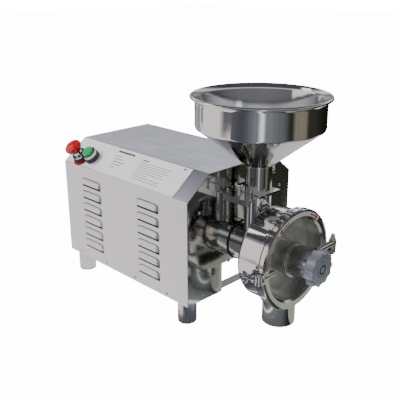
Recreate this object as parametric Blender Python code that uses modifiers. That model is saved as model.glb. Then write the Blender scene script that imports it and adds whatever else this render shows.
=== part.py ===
"""Bench-top stainless grain grinder: motor cabinet, feed barrel, disc chamber and hopper.

Metres, +Z up. The shaft runs along X and the chamber faces +X. Everything is drawn with
X measured ahead of the front plate's outer face and Y from the shaft, and then hung on
one empty, which puts the origin on the floor under the middle of the whole machine.
"""
from math import atan2, cos, pi, radians, sin

import bmesh
import bpy
from mathutils import Matrix, Vector

# ---- driving dimensions -------------------------------------------------------------
GAP = 0.0003                # room between neighbouring solids
GLAND_END = -0.3790         # rearmost point, ahead of the front plate
KNOB_END = 0.1842           # foremost point
FRONT_X = -(GLAND_END + KNOB_END) / 2
SHAFT_Y = 0.0086            # the stop button makes one side wider than the other

SHAFT_Z = 0.1327
SHEET = 0.0015              # cabinet cover
PLATE = 0.0020              # front and rear plates
CABINET_LENGTH = 0.3643
CABINET_HALF = 0.1400
CABINET_BOTTOM = 0.0420
SIDE_TOP = 0.2400
ROOF_HALF = 0.0870
ROOF_Z = 0.2810

LEG_R = 0.0180
LEG_WALL = 0.0015
LEG_TOP = 0.0452
LEG_Y = 0.1195
LEG_FRONT = -0.0227
LEG_REAR = -0.3356
PAD_T = 0.0028

FRAME_BOTTOM = 0.0455
FRAME_TOP = 0.0605
RAIL_AHEAD = (-0.245, -0.125)
RAIL_WIDTH = 0.030

GLAND_PLACE = (0.0950, 0.0800)      # from the shaft, and above the floor

LOUVRE_AHEAD = (-0.2750, -0.1035)
LOUVRE_LENGTH = 0.060
LOUVRE_PITCH = 0.0265
LOUVRE_LOWEST = 0.0790
LOUVRE_ROWS = 6
LOUVRE_RISE = 0.0110
LOUVRE_OUT = 0.0045

ESTOP_PLACE = (-0.3205, -0.0150)    # ahead, and up the slope from its middle
START_PLACE = (-0.2855, -0.0100)
PANEL_HOLE_R = 0.0112

SHAFT_R = 0.0120
BORE_R = SHAFT_R + GAP
MOTOR_R = 0.0660
MOTOR_FRONT = -0.085
MOTOR_REAR = -0.290

BARREL_R = 0.0370
BARREL_BORE = 0.0330
BARREL_END = 0.0617
THROAT_AHEAD = 0.0375
THROAT_R = 0.0240
THROAT_BORE = 0.0220
GATE_Z = 0.2365
GATE_SHEET = 0.0012
GATE_SLOT = 0.0024
SOCKET_TOP = 0.2850
SOCKET_SCREW_Z = 0.2720

HOPPER_RIM_R = 0.1222
HOPPER_R = 0.1134
HOPPER_TOP = 0.4115
HOPPER_SHOULDER = 0.3546
HOPPER_WALL = 0.0013
SPIGOT_R = THROAT_BORE - GAP

DRUM_BACK = 0.0620
DRUM_R = 0.0840
DRUM_WALL = 0.0030
DRUM_FRONT = 0.1182
FLANGE_R = 0.0900
COVER_BACK = 0.1203
COVER_FRONT = 0.1310
COVER_R = 0.0920
POCKET_R = 0.0755
POCKET_FLOOR = 0.0970
BOSS_R = 0.0300
BOSS_END = 0.1220

BURR_R = 0.0640
BURR_GAP = 0.0010
OUTLET_AHEAD = 0.0955
OUTLET_R = 0.0305
OUTLET_TOP = 0.0400
OUTLET_BOTTOM = 0.0013

ARM_Z = 0.1290
ARM_AHEAD = 0.1270
ARM_R = 0.0065
ARM_INNER = 0.0620
HINGE_PLACE = (0.1260, 0.1160)
LATCH_PLACE = (0.1270, -0.0990)
LATCH_REST = radians(22)            # how far the loosened bolt leans out of its slot

SPINDLE_R = 0.0140
SLEEVE_R = 0.0285
KNOB_R = 0.0320
KNOB_LOBES = 11

SLOPE = Vector((ROOF_HALF - CABINET_HALF, ROOF_Z - SIDE_TOP))
SLOPE_ANGLE = atan2(SLOPE.y, -SLOPE.x)
SLOPE_MIDDLE = Vector((0.0, -(CABINET_HALF + ROOF_HALF) / 2, (SIDE_TOP + ROOF_Z) / 2))

STEEL = ((0.62, 0.62, 0.61), 1.0, 0.22)
SATIN = ((0.66, 0.66, 0.67), 1.0, 0.38)
CAST = ((0.42, 0.43, 0.45), 0.9, 0.50)
BLACK = ((0.03, 0.03, 0.03), 0.0, 0.50)
COPPER = ((0.60, 0.32, 0.16), 1.0, 0.40)


# ---- helpers ------------------------------------------------------------------------
def clear_scene():
    for obj in list(bpy.data.objects):
        bpy.data.objects.remove(obj, do_unlink=True)


def collection(name):
    made = bpy.data.collections.new(name)
    bpy.context.scene.collection.children.link(made)
    return made


def put_in(obj, target):
    for old in list(obj.users_collection):
        old.objects.unlink(obj)
    target.objects.link(obj)


def as_part(obj, finish):
    """File a finished piece with the parts and give it its own material."""
    colour, metallic, roughness = finish
    made = bpy.data.materials.new(obj.name)
    made.use_nodes = True
    shader = made.node_tree.nodes["Principled BSDF"]
    shader.inputs["Base Color"].default_value = (*colour, 1.0)
    shader.inputs["Metallic"].default_value = metallic
    shader.inputs["Roughness"].default_value = roughness
    obj.data.materials.clear()
    obj.data.materials.append(made)
    put_in(obj, PARTS)
    return obj


def as_tool(obj):
    """File a shape that only cuts or joins, so that it isn't a piece of its own."""
    obj.hide_render = True
    obj.display_type = "WIRE"
    put_in(obj, TOOLS)
    return obj


def shade_round(obj, angle=radians(35)):
    obj.data.shade_smooth()
    obj.data.set_sharp_from_angle(angle=angle)
    return obj


def box(name, x_span, y_span, z_span):
    """A box between two limits on each axis, with its origin in its middle."""
    spans = (x_span, y_span, z_span)
    middle = [(low + high) / 2 for low, high in spans]
    size = [abs(high - low) for low, high in spans]
    bpy.ops.mesh.primitive_cube_add(size=1.0, location=middle)
    obj = bpy.context.object
    obj.name = name
    obj.data.transform(Matrix.Diagonal((*size, 1.0)))
    return obj


def rod(name, radius, start, end, sides=24):
    """A cylinder from one point to another, with its origin at the first."""
    start, end = Vector(start), Vector(end)
    along = end - start
    bpy.ops.mesh.primitive_cylinder_add(vertices=sides, radius=radius, depth=along.length)
    obj = bpy.context.object
    obj.name = name
    obj.data.transform(Matrix.Translation((0.0, 0.0, along.length / 2)))
    obj.location = start
    obj.rotation_euler = along.to_track_quat("Z", "Y").to_euler()
    return shade_round(obj)


def turned(name, outline, steps=32, ring=False):
    """Turn (radius, height) points about local Z; a ring's outline closes on itself."""
    points = list(outline)
    if ring:
        area = sum(a[0] * b[1] - b[0] * a[1] for a, b in zip(points, points[1:] + points[:1]))
        if area > 0:
            points.reverse()
    mesh = bpy.data.meshes.new(name)
    edges = [(i, i + 1) for i in range(len(points) - 1)]
    if ring:
        edges.append((len(points) - 1, 0))
    mesh.from_pydata([(r, 0.0, z) for r, z in points], edges, [])
    obj = bpy.data.objects.new(name, mesh)
    bpy.context.scene.collection.objects.link(obj)
    screw = obj.modifiers.new("Turn", "SCREW")
    screw.steps = screw.render_steps = steps
    screw.use_merge_vertices = True
    screw.merge_threshold = 0.00001
    screw.use_smooth_shade = True
    baked = bpy.data.meshes.new_from_object(obj.evaluated_get(bpy.context.evaluated_depsgraph_get()))
    obj.modifiers.clear()
    obj.data = baked
    obj.data.name = name
    return shade_round(obj)


def turned_on_shaft(name, outline, steps=32, ring=False):
    """The same about the shaft's line, heights being distances ahead."""
    obj = turned(name, outline, steps, ring)
    obj.location = (0.0, 0.0, SHAFT_Z)
    obj.rotation_euler = (0.0, pi / 2, 0.0)
    return obj


def ring_section(inner, outer, low, high):
    return [(outer, high), (outer, low), (inner, low), (inner, high)]


def extruded(name, outline, length):
    """Extrude a flat outline of Y and Z along X."""
    curve = bpy.data.curves.new(name, "CURVE")
    curve.dimensions = "2D"
    curve.fill_mode = "BOTH"
    curve.extrude = length / 2
    spline = curve.splines.new("POLY")
    spline.points.add(len(outline) - 1)
    for point, (a, b) in zip(spline.points, outline):
        point.co = (a, b, 0.0, 1.0)
    spline.use_cyclic_u = True
    drawn = bpy.data.objects.new(name, curve)
    bpy.context.scene.collection.objects.link(drawn)
    graph = bpy.context.evaluated_depsgraph_get()
    mesh = bpy.data.meshes.new_from_object(drawn.evaluated_get(graph))
    bpy.data.objects.remove(drawn, do_unlink=True)
    work = bmesh.new()
    work.from_mesh(mesh)
    bmesh.ops.remove_doubles(work, verts=work.verts, dist=0.00001)
    bmesh.ops.dissolve_limit(work, angle_limit=radians(0.5), verts=work.verts, edges=work.edges)
    bmesh.ops.translate(work, verts=work.verts, vec=(0.0, 0.0, length / 2))
    bmesh.ops.recalc_face_normals(work, faces=work.faces)
    work.to_mesh(mesh)
    work.free()
    obj = bpy.data.objects.new(name, mesh)
    bpy.context.scene.collection.objects.link(obj)
    obj.rotation_euler = (pi / 2, 0.0, pi / 2)
    return obj


def boolean(obj, operation, tools):
    for tool in tools:
        step = obj.modifiers.new(f"{operation.title()} {tool.name}", "BOOLEAN")
        step.operation = operation
        step.object = as_tool(tool)
    return obj


def cut(obj, *tools):
    return boolean(obj, "DIFFERENCE", tools)


def join(obj, *tools):
    return boolean(obj, "UNION", tools)


def merged(name, pieces):
    """One mesh of several pieces that don't touch, for a cut or a join in one step."""
    work = bmesh.new()
    for piece in pieces:
        bpy.context.view_layer.update()
        part = piece.data.copy()
        part.transform(piece.matrix_world)
        work.from_mesh(part)
        bpy.data.objects.remove(piece, do_unlink=True)
    mesh = bpy.data.meshes.new(name)
    work.to_mesh(mesh)
    work.free()
    obj = bpy.data.objects.new(name, mesh)
    bpy.context.scene.collection.objects.link(obj)
    return obj


def rounded(obj, width, segments=2):
    edge = obj.modifiers.new("Soft edges", "BEVEL")
    edge.width = width
    edge.segments = segments
    edge.limit_method = "ANGLE"
    edge.angle_limit = radians(40)
    return obj


def cabinet_section(inset, bottom):
    """The cabinet's section in Y and Z, moved in from its outer faces by inset."""
    normal = Vector((sin(SLOPE_ANGLE), cos(SLOPE_ANGLE)))
    reach = normal.dot(Vector((CABINET_HALF, SIDE_TOP))) - inset
    side, roof = CABINET_HALF - inset, ROOF_Z - inset
    shoulder = (reach - normal.x * side) / normal.y
    roof_edge = (reach - normal.y * roof) / normal.x
    half = [(side, bottom), (side, shoulder), (roof_edge, roof)]
    return [(-y, z) for y, z in half] + half[::-1]


def on_slope(obj, place):
    """Stand a piece on the sloping panel, its local Z along the panel's normal."""
    ahead, up_slope = place
    obj.location = slope_point(ahead, up_slope)
    obj.rotation_euler = (SLOPE_ANGLE, 0.0, 0.0)
    return obj


def slope_point(ahead, up_slope):
    along = Vector((0.0, cos(SLOPE_ANGLE), sin(SLOPE_ANGLE)))
    point = SLOPE_MIDDLE + along * up_slope
    point.x = ahead
    return point


# ---- cabinet ------------------------------------------------------------------------
def louvre_prism(name, outline, ahead, z):
    prism = extruded(name, [(y, z + dz) for y, dz in outline], LOUVRE_LENGTH)
    prism.location.x = ahead - LOUVRE_LENGTH / 2
    return prism


def louvre_rows():
    for ahead in LOUVRE_AHEAD:
        for row in range(LOUVRE_ROWS):
            yield ahead, LOUVRE_LOWEST + row * LOUVRE_PITCH


def make_cabinet_cover():
    mesh = bpy.data.meshes.new("cabinet_cover")
    work = bmesh.new()
    points = cabinet_section(0.0, CABINET_BOTTOM)
    rear = -CABINET_LENGTH
    corners = [work.verts.new((rear, y, z)) for y, z in points]
    folds = [work.edges.new(pair) for pair in zip(corners, corners[1:])]
    swept = bmesh.ops.extrude_edge_only(work, edges=folds)["geom"]
    moved = [item for item in swept if isinstance(item, bmesh.types.BMVert)]
    bmesh.ops.translate(work, verts=moved, vec=(CABINET_LENGTH, 0.0, 0.0))
    for face in work.faces:
        if face.normal.dot(face.calc_center_median() - Vector((0.0, 0.0, SHAFT_Z))) < 0:
            face.normal_flip()
    work.to_mesh(mesh)
    work.free()
    cover = bpy.data.objects.new("cabinet_cover", mesh)
    bpy.context.scene.collection.objects.link(cover)
    shell = cover.modifiers.new("Sheet", "SOLIDIFY")
    shell.thickness = SHEET
    shell.offset = -1.0
    shell.use_even_offset = True

    wall = CABINET_HALF
    lip = wall + LOUVRE_OUT
    half = LOUVRE_RISE / 2
    hood = [(wall - SHEET / 2, half), (lip, -half), (wall - SHEET / 2, -half)]
    under = [(wall - 0.004, half - SHEET), (wall, half - SHEET - 0.0006),
             (lip - SHEET, -half - 0.001), (wall + GAP, -half - 0.001),
             (wall + GAP, -half), (wall - 0.004, -half)]
    hoods, hollows = [], []
    for side in (-1, 1):
        for ahead, z in louvre_rows():
            hoods.append(louvre_prism("hood", [(side * y, dz) for y, dz in hood], ahead, z))
            hollow = louvre_prism("hollow", [(side * y, dz) for y, dz in under], ahead, z)
            hollow.scale.z = 1 - 2 * SHEET / LOUVRE_LENGTH
            hollow.location.x += SHEET
            hollows.append(hollow)
    join(cover, merged("hoods", hoods))
    holes = [rod("hole", PANEL_HOLE_R, slope_point(*place) - slope_normal() * 0.01,
                 slope_point(*place) + slope_normal() * 0.01)
             for place in (ESTOP_PLACE, START_PLACE)]
    cut(cover, merged("hollows", hollows), merged("panel_holes", holes))
    return as_part(cover, SATIN)


def slope_normal():
    return Vector((0.0, -sin(SLOPE_ANGLE), cos(SLOPE_ANGLE)))


def make_end_plates():
    outline = cabinet_section(SHEET + GAP, CABINET_BOTTOM)
    front = extruded("front_plate", outline, PLATE)
    front.location.x = -PLATE
    notch_half, notch_top = 0.0510, 0.0990
    cut(front,
        box("front_notch", (-0.01, 0.01), (-notch_half, notch_half), (0.0, notch_top)),
        rod("front_bore", 0.0303, (-0.01, 0.0, SHAFT_Z), (0.01, 0.0, SHAFT_Z), 32))
    as_part(front, STEEL)

    rear = extruded("rear_plate", outline, PLATE)
    rear.location.x = -CABINET_LENGTH
    span = (-CABINET_LENGTH - 0.01, -CABINET_LENGTH + 0.01)
    slots = [box("vent", span, (-0.036, 0.036), (SHAFT_Z + dz - 0.003, SHAFT_Z + dz + 0.003))
             for dz in (-0.030, -0.015, 0.0, 0.015, 0.030)]
    gland_hole = rod("gland_hole", 0.0083, (span[0], *GLAND_PLACE), (span[1], *GLAND_PLACE))
    cut(rear, merged("vents", slots), gland_hole)
    as_part(rear, SATIN)


def make_cable_gland():
    back = -CABINET_LENGTH
    outline = [(0.0080, back + 0.0110), (0.0080, back - GAP), (0.0125, back - GAP),
               (0.0125, back - 0.0060), (0.0095, back - 0.0080), (0.0080, GLAND_END),
               (0.0045, GLAND_END), (0.0045, back + 0.0110)]
    gland = turned("cable_gland", outline, 16, ring=True)
    gland.location = (0.0, *GLAND_PLACE)
    gland.rotation_euler = (0.0, pi / 2, 0.0)
    as_part(gland, BLACK)


def make_base_frame():
    rear, front = -CABINET_LENGTH + PLATE + 0.0004, -PLATE - 0.0004
    side = CABINET_HALF - SHEET - 0.0006
    wall, flange, pad = 0.0020, 0.0160, 0.0460
    frame = box("base_frame", (rear, front), (-side, side), (FRAME_BOTTOM, FRAME_TOP))
    inner = box("frame_inside", (rear + wall, front - wall), (-side + wall, side - wall),
                (FRAME_BOTTOM + wall, FRAME_TOP + 0.01))
    window = box("frame_window", (rear + flange, front - flange), (-side + flange, side - flange),
                 (FRAME_BOTTOM - 0.01, FRAME_TOP))
    cut(frame, inner, window)
    pads = [box("corner", (x, x + pad * turn), (y, y - pad * turn_y), (FRAME_BOTTOM, FRAME_BOTTOM + wall))
            for x, turn in ((rear, 1), (front, -1)) for y, turn_y in ((side, 1), (-side, -1))]
    rails = [box("rail", (a - RAIL_WIDTH / 2, a + RAIL_WIDTH / 2),
                 (-side + wall / 2, side - wall / 2), (FRAME_BOTTOM, FRAME_TOP)) for a in RAIL_AHEAD]
    groove = [box("rail_inside", (a - RAIL_WIDTH / 2 + wall, a + RAIL_WIDTH / 2 - wall),
                  (-side, side), (FRAME_BOTTOM - 0.01, FRAME_TOP - wall)) for a in RAIL_AHEAD]
    join(frame, merged("corners", pads), merged("rails", rails))
    bar = merged("rail_insides", groove)
    keep = box("rail_keep", (rear + flange, front - flange), (-side + flange, side - flange),
               (FRAME_BOTTOM - 0.02, FRAME_TOP))
    bar_cut = bar.modifiers.new("Between the flanges", "BOOLEAN")
    bar_cut.operation = "INTERSECT"
    bar_cut.object = as_tool(keep)
    cut(frame, bar)
    as_part(frame, SATIN)


def make_legs():
    for end, ahead in (("front", LEG_FRONT), ("rear", LEG_REAR)):
        for side, y in (("left", -LEG_Y), ("right", LEG_Y)):
            bottom = PAD_T + GAP
            inner = LEG_R - LEG_WALL
            tube = [(0.0, LEG_TOP), (LEG_R, LEG_TOP), (LEG_R, bottom), (inner, bottom),
                    (inner, LEG_TOP - LEG_WALL), (0.0, LEG_TOP - LEG_WALL)]
            leg = turned(f"leg_{end}_{side}", tube, 20)
            leg.location = (ahead, y, 0.0)
            as_part(leg, STEEL)
            plug = inner - GAP
            foot = [(0.0, 0.0120), (plug, 0.0120), (plug, PAD_T), (LEG_R - 0.0005, PAD_T),
                    (LEG_R - 0.0005, 0.0006), (LEG_R - 0.0012, 0.0), (0.0, 0.0)]
            pad = turned(f"foot_pad_{end}_{side}", foot, 20)
            pad.location = (ahead, y, 0.0)
            as_part(pad, BLACK)


# ---- control panel ------------------------------------------------------------------
def make_label_panel():
    rear, front, width, thick = -0.3630, -0.0370, 0.0640, 0.0006
    middle = (rear + front) / 2
    panel = box("label_panel", (rear - middle, front - middle), (-width / 2, width / 2),
                (GAP, GAP + thick))
    panel.data.transform(Matrix.Translation(panel.location))
    on_slope(panel, (middle, 0.0))
    holes = [rod("label_hole", PANEL_HOLE_R, slope_point(*place) - slope_normal() * 0.01,
                 slope_point(*place) + slope_normal() * 0.01)
             for place in (ESTOP_PLACE, START_PLACE)]
    cut(panel, merged("label_holes", holes))
    as_part(panel, ((0.80, 0.79, 0.78), 0.0, 0.45))


def make_controls():
    seat, shank_r, shank_bore, shank_end = 0.0012, 0.0108, 0.0098, -0.0180
    legend = turned("estop_legend", ring_section(PANEL_HOLE_R, 0.0200, seat, seat + 0.0012),
                    24, ring=True)
    as_part(on_slope(legend, ESTOP_PLACE), ((0.35, 0.02, 0.02), 0.0, 0.45))

    collar_r, collar_top = 0.0145, 0.0140
    flange = seat + 0.0012 + GAP
    collar = turned("estop_collar", [
        (collar_r, collar_top), (collar_r, flange), (shank_r, flange), (shank_r, shank_end),
        (shank_bore, shank_end), (shank_bore, collar_top)], 20, ring=True)
    as_part(on_slope(collar, ESTOP_PLACE), BLACK)
    stem = turned("estop_stem", [(0.0, 0.0235), (0.0093, 0.0235), (0.0093, -0.0170), (0.0, -0.0170)], 20)
    as_part(on_slope(stem, ESTOP_PLACE), ((0.35, 0.35, 0.36), 0.8, 0.35))
    head = turned("estop_head", [
        (0.0, 0.0425), (0.0072, 0.0423), (0.0126, 0.0409), (0.0164, 0.0382), (0.0178, 0.0345),
        (0.0174, 0.0318), (0.0148, 0.0282), (0.0120, 0.0268), (0.0120, 0.0238), (0.0, 0.0238)], 24)
    as_part(on_slope(head, ESTOP_PLACE), ((0.62, 0.03, 0.03), 0.0, 0.30))
    block = box("estop_switch_block", (-0.015, 0.015), (-0.020, 0.020), (-0.0460, -0.0230))
    block.data.transform(Matrix.Translation(block.location))
    as_part(on_slope(block, ESTOP_PLACE), BLACK)

    bezel_top, ledge = 0.0215, 0.0100
    cap_r = 0.0113
    bezel = turned("start_bezel", [
        (collar_r, bezel_top), (collar_r, seat), (shank_r, seat), (shank_r, shank_end),
        (shank_bore, shank_end), (shank_bore, ledge), (cap_r + 0.0004, ledge),
        (cap_r + 0.0004, bezel_top)], 20, ring=True)
    as_part(on_slope(bezel, START_PLACE), STEEL)
    button = turned("start_button", [
        (0.0, 0.0280), (cap_r - 0.0018, 0.0280), (cap_r, 0.0268), (cap_r, 0.0135),
        (0.0094, 0.0135), (0.0094, -0.0150), (0.0, -0.0150)], 20)
    as_part(on_slope(button, START_PLACE), ((0.03, 0.45, 0.16), 0.0, 0.30))
    block = box("start_switch_block", (-0.012, 0.012), (-0.020, 0.020), (-0.0420, -0.0190))
    block.data.transform(Matrix.Translation(block.location))
    as_part(on_slope(block, START_PLACE), BLACK)


# ---- motor --------------------------------------------------------------------------
def make_motor():
    bore = 0.0615
    housing = turned_on_shaft("motor_housing", [
        (0.0, MOTOR_FRONT), (MOTOR_R, MOTOR_FRONT), (MOTOR_R, MOTOR_REAR), (0.0, MOTOR_REAR)], 28)
    feet = [box("foot", (a - 0.012, a + 0.012), (-0.055, 0.055),
                (FRAME_TOP + GAP, SHAFT_Z - 0.045)) for a in RAIL_AHEAD]
    join(housing, merged("motor_feet", feet))
    cut(housing, rod("motor_bore", bore, (MOTOR_REAR - 0.01, 0.0, SHAFT_Z),
                     (MOTOR_FRONT + 0.01, 0.0, SHAFT_Z), 36))
    as_part(housing, CAST)

    seat = 0.0200
    shield = 0.0147
    for name, low in (("front", MOTOR_FRONT + GAP), ("rear", MOTOR_REAR - GAP - shield)):
        end = turned_on_shaft(f"motor_{name}_shield",
                              ring_section(seat + GAP, MOTOR_R, low, low + shield), 28, ring=True)
        as_part(end, CAST)
        bearing = turned_on_shaft(f"{name}_bearing",
                                  ring_section(BORE_R, seat, low + 0.0007, low + shield - 0.0007),
                                  20, ring=True)
        as_part(bearing, STEEL)

    core = (-0.250, -0.120)
    stator = turned_on_shaft("stator", ring_section(0.0380, bore - GAP, *core), 20, ring=True)
    as_part(stator, COPPER)
    rotor = turned_on_shaft("rotor", ring_section(BORE_R, 0.0374, *core), 20, ring=True)
    as_part(rotor, CAST)
    shaft = turned_on_shaft("main_shaft", [
        (0.0, 0.0885), (SHAFT_R - 0.001, 0.0885), (SHAFT_R, 0.0875), (SHAFT_R, -0.3300), (0.0, -0.3300)], 20)
    as_part(shaft, STEEL)

    fan = turned_on_shaft("cooling_fan", ring_section(BORE_R, 0.0200, -0.3280, -0.3120), 16, ring=True)
    blades = []
    for number in range(6):
        turn = Matrix.Rotation(number * pi / 3, 4, "X")
        blade = box("blade", (-0.3275, -0.3125), (-0.001, 0.001), (0.0190, 0.0560))
        blade.data.transform(Matrix.Translation(blade.location))
        blade.data.transform(Matrix.Translation((0.0, 0.0, SHAFT_Z)) @ turn)
        blade.location = (0.0, 0.0, 0.0)
        blades.append(blade)
    join(fan, merged("fan_blades", blades))
    as_part(fan, BLACK)
    cowl = turned_on_shaft("fan_cowl", [
        (MOTOR_R, -0.3058), (MOTOR_R, -0.3440), (0.0640, -0.3460), (0.0300, -0.3460),
        (0.0300, -0.3448), (0.0635, -0.3448), (0.0648, -0.3435), (0.0648, -0.3058)], 28, ring=True)
    as_part(cowl, CAST)


def make_capacitors():
    radius, z, ends = 0.0165, ROOF_Z - 0.0207, (-0.2100, -0.1300)
    for name, y in (("start", 0.0200), ("run", 0.0590)):
        can = rod(f"{name}_capacitor", radius, (ends[0], y, z), (ends[1], y, z), 16)
        as_part(can, ((0.55, 0.56, 0.58), 0.9, 0.40))
    span = (-0.190, -0.150)
    top = ROOF_Z - SHEET - 0.0004
    bracket = box("capacitor_bracket", span, (0.0, 0.0790), (top - 0.0020, top))
    fins = [box("fin", span, (y - 0.0010, y + 0.0010), (top - 0.0250, top - 0.0010))
            for y in (0.0010, 0.0395, 0.0780)]
    join(bracket, merged("bracket_fins", fins))
    as_part(bracket, SATIN)


# ---- feed path ----------------------------------------------------------------------
def make_feed_barrel():
    spigot_r, spigot_bore, spigot_end = 0.0300, 0.0273, -0.0120
    back = 0.0040
    barrel = turned_on_shaft("feed_barrel", [
        (BARREL_R, BARREL_END), (BARREL_R, GAP), (spigot_r, GAP), (spigot_r, spigot_end),
        (spigot_bore, spigot_end), (spigot_bore, back), (BARREL_BORE, back),
        (BARREL_BORE, BARREL_END)], 36, ring=True)
    x = THROAT_AHEAD
    join(barrel, rod("throat", THROAT_R, (x, 0.0, SHAFT_Z + 0.0340), (x, 0.0, GATE_Z - GAP), 32))
    cut(barrel,
        rod("throat_bore", THROAT_BORE, (x, 0.0, SHAFT_Z), (x, 0.0, GATE_Z + 0.01), 32),
        rod("barrel_bore", BARREL_BORE, (back, 0.0, SHAFT_Z), (BARREL_END - 0.0002, 0.0, SHAFT_Z), 36))
    as_part(barrel, STEEL)
    seal = turned_on_shaft("shaft_seal", ring_section(BORE_R, spigot_bore - GAP, -0.0110, 0.0030),
                           20, ring=True)
    as_part(seal, BLACK)


def make_feed_screw():
    hub_r, crest_r, ends, pitch = 0.0160, 0.0300, (0.0045, 0.0620), 0.0250
    hub = turned_on_shaft("feed_screw", ring_section(BORE_R, hub_r, *ends), 20, ring=True)
    turns = 2
    mesh = bpy.data.meshes.new("flight")
    mesh.from_pydata([(hub_r - 0.0015, 0.0, 0.0), (crest_r, 0.0, 0.0)], [(0, 1)], [])
    flight = bpy.data.objects.new("flight", mesh)
    bpy.context.scene.collection.objects.link(flight)
    sweep = flight.modifiers.new("Helix", "SCREW")
    sweep.angle = 2 * pi * turns
    sweep.screw_offset = pitch * turns
    sweep.steps = sweep.render_steps = 18 * turns
    sweep.use_merge_vertices = False
    thick = flight.modifiers.new("Thickness", "SOLIDIFY")
    thick.thickness = 0.0030
    thick.offset = 0.0
    flight.location = (ends[0] + 0.0032, 0.0, SHAFT_Z)
    flight.rotation_euler = (0.0, pi / 2, 0.0)
    join(hub, flight)
    as_part(hub, STEEL)


def make_gate():
    x = THROAT_AHEAD
    span = (0.0080, 0.0668)
    slot_span = (0.0105, 0.0643)
    top = GATE_Z + 2 * GATE_SHEET + GATE_SLOT
    guide = box("gate_housing", span, (-0.0280, 0.0268), (GATE_Z, top))
    boss_end = 0.0305
    join(guide,
         rod("socket", THROAT_R, (x, 0.0, top - 0.0005), (x, 0.0, SOCKET_TOP), 32),
         rod("screw_boss", 0.0055, (x, 0.0150, SOCKET_SCREW_Z), (x, boss_end, SOCKET_SCREW_Z), 16))
    cut(guide,
        rod("socket_bore", THROAT_BORE, (x, 0.0, GATE_Z - 0.01), (x, 0.0, SOCKET_TOP + 0.01), 32),
        box("gate_slot", slot_span, (-0.0400, 0.0252), (GATE_Z + GATE_SHEET, top - GATE_SHEET)),
        rod("screw_hole", 0.0028, (x, 0.0, SOCKET_SCREW_Z), (x, boss_end + 0.01, SOCKET_SCREW_Z), 12))
    as_part(guide, STEEL)

    low, high = GATE_Z + GATE_SHEET + GAP, top - GATE_SHEET - GAP
    gate = box("slide_gate", (slot_span[0] + GAP, slot_span[1] - GAP), (-0.0600, 0.0248), (low, high))
    walls = [box("grip", span, (-0.0600, -0.0585), (low - 0.0085, high)),
             box("grip", span, (-0.0445, -0.0430), (low - 0.0045, high)),
             box("grip", span, (-0.0590, -0.0440), (low, high))]
    join(gate, *walls)
    as_part(gate, STEEL)

    place = (x, -0.0515)
    screw = rod("gate_thumbscrew", 0.0022, (*place, high + GAP), (*place, high + 0.0190), 12)
    hub = rod("thumb_hub", 0.0042, (*place, high + 0.0140), (*place, high + 0.0215), 14)
    wings = box("thumb_wings", (place[0] - 0.0095, place[0] + 0.0095),
                (place[1] - 0.0012, place[1] + 0.0012), (high + 0.0165, high + 0.0245))
    join(screw, hub, rounded(wings, 0.0011))
    as_part(screw, STEEL)


def make_hopper():
    seat = SOCKET_TOP + GAP
    inner = HOPPER_R - HOPPER_WALL
    foot_r = THROAT_R + 0.0003
    spigot_end = 0.2560
    spigot_bore = SPIGOT_R - 0.0014
    outline = [
        (HOPPER_RIM_R - 0.0030, HOPPER_TOP), (HOPPER_RIM_R - 0.0007, HOPPER_TOP - 0.0009),
        (HOPPER_RIM_R, HOPPER_TOP - 0.0028), (HOPPER_RIM_R - 0.0007, HOPPER_TOP - 0.0050),
        (HOPPER_RIM_R - 0.0028, HOPPER_TOP - 0.0062), (HOPPER_R + 0.0020, HOPPER_TOP - 0.0078),
        (HOPPER_R, HOPPER_TOP - 0.0105), (HOPPER_R, HOPPER_SHOULDER + 0.0030),
        (HOPPER_R - 0.0020, HOPPER_SHOULDER - 0.0010), (foot_r, seat + 0.0020), (foot_r, seat),
        (SPIGOT_R, seat), (SPIGOT_R, spigot_end), (spigot_bore, spigot_end),
        (spigot_bore, seat + 0.0020), (inner - 0.0020, HOPPER_SHOULDER),
        (inner, HOPPER_SHOULDER + 0.0035), (inner, HOPPER_TOP - 0.0085),
        (inner + 0.0030, HOPPER_TOP - 0.0045)]
    hopper = turned("hopper", outline, 36, ring=True)
    hopper.location = (THROAT_AHEAD, 0.0, 0.0)
    as_part(hopper, STEEL)

    x, z = THROAT_AHEAD, SOCKET_SCREW_Z
    screw = rod("hopper_wing_screw", 0.0025, (x, SPIGOT_R + 0.0004, z), (x, 0.0400, z), 12)
    hub = rod("wing_hub", 0.0045, (x, 0.0330, z), (x, 0.0420, z), 14)
    wings = box("wings", (x - 0.0013, x + 0.0013), (0.0370, 0.0480), (z - 0.0110, z + 0.0110))
    join(screw, hub, rounded(wings, 0.0011))
    as_part(screw, STEEL)


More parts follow.
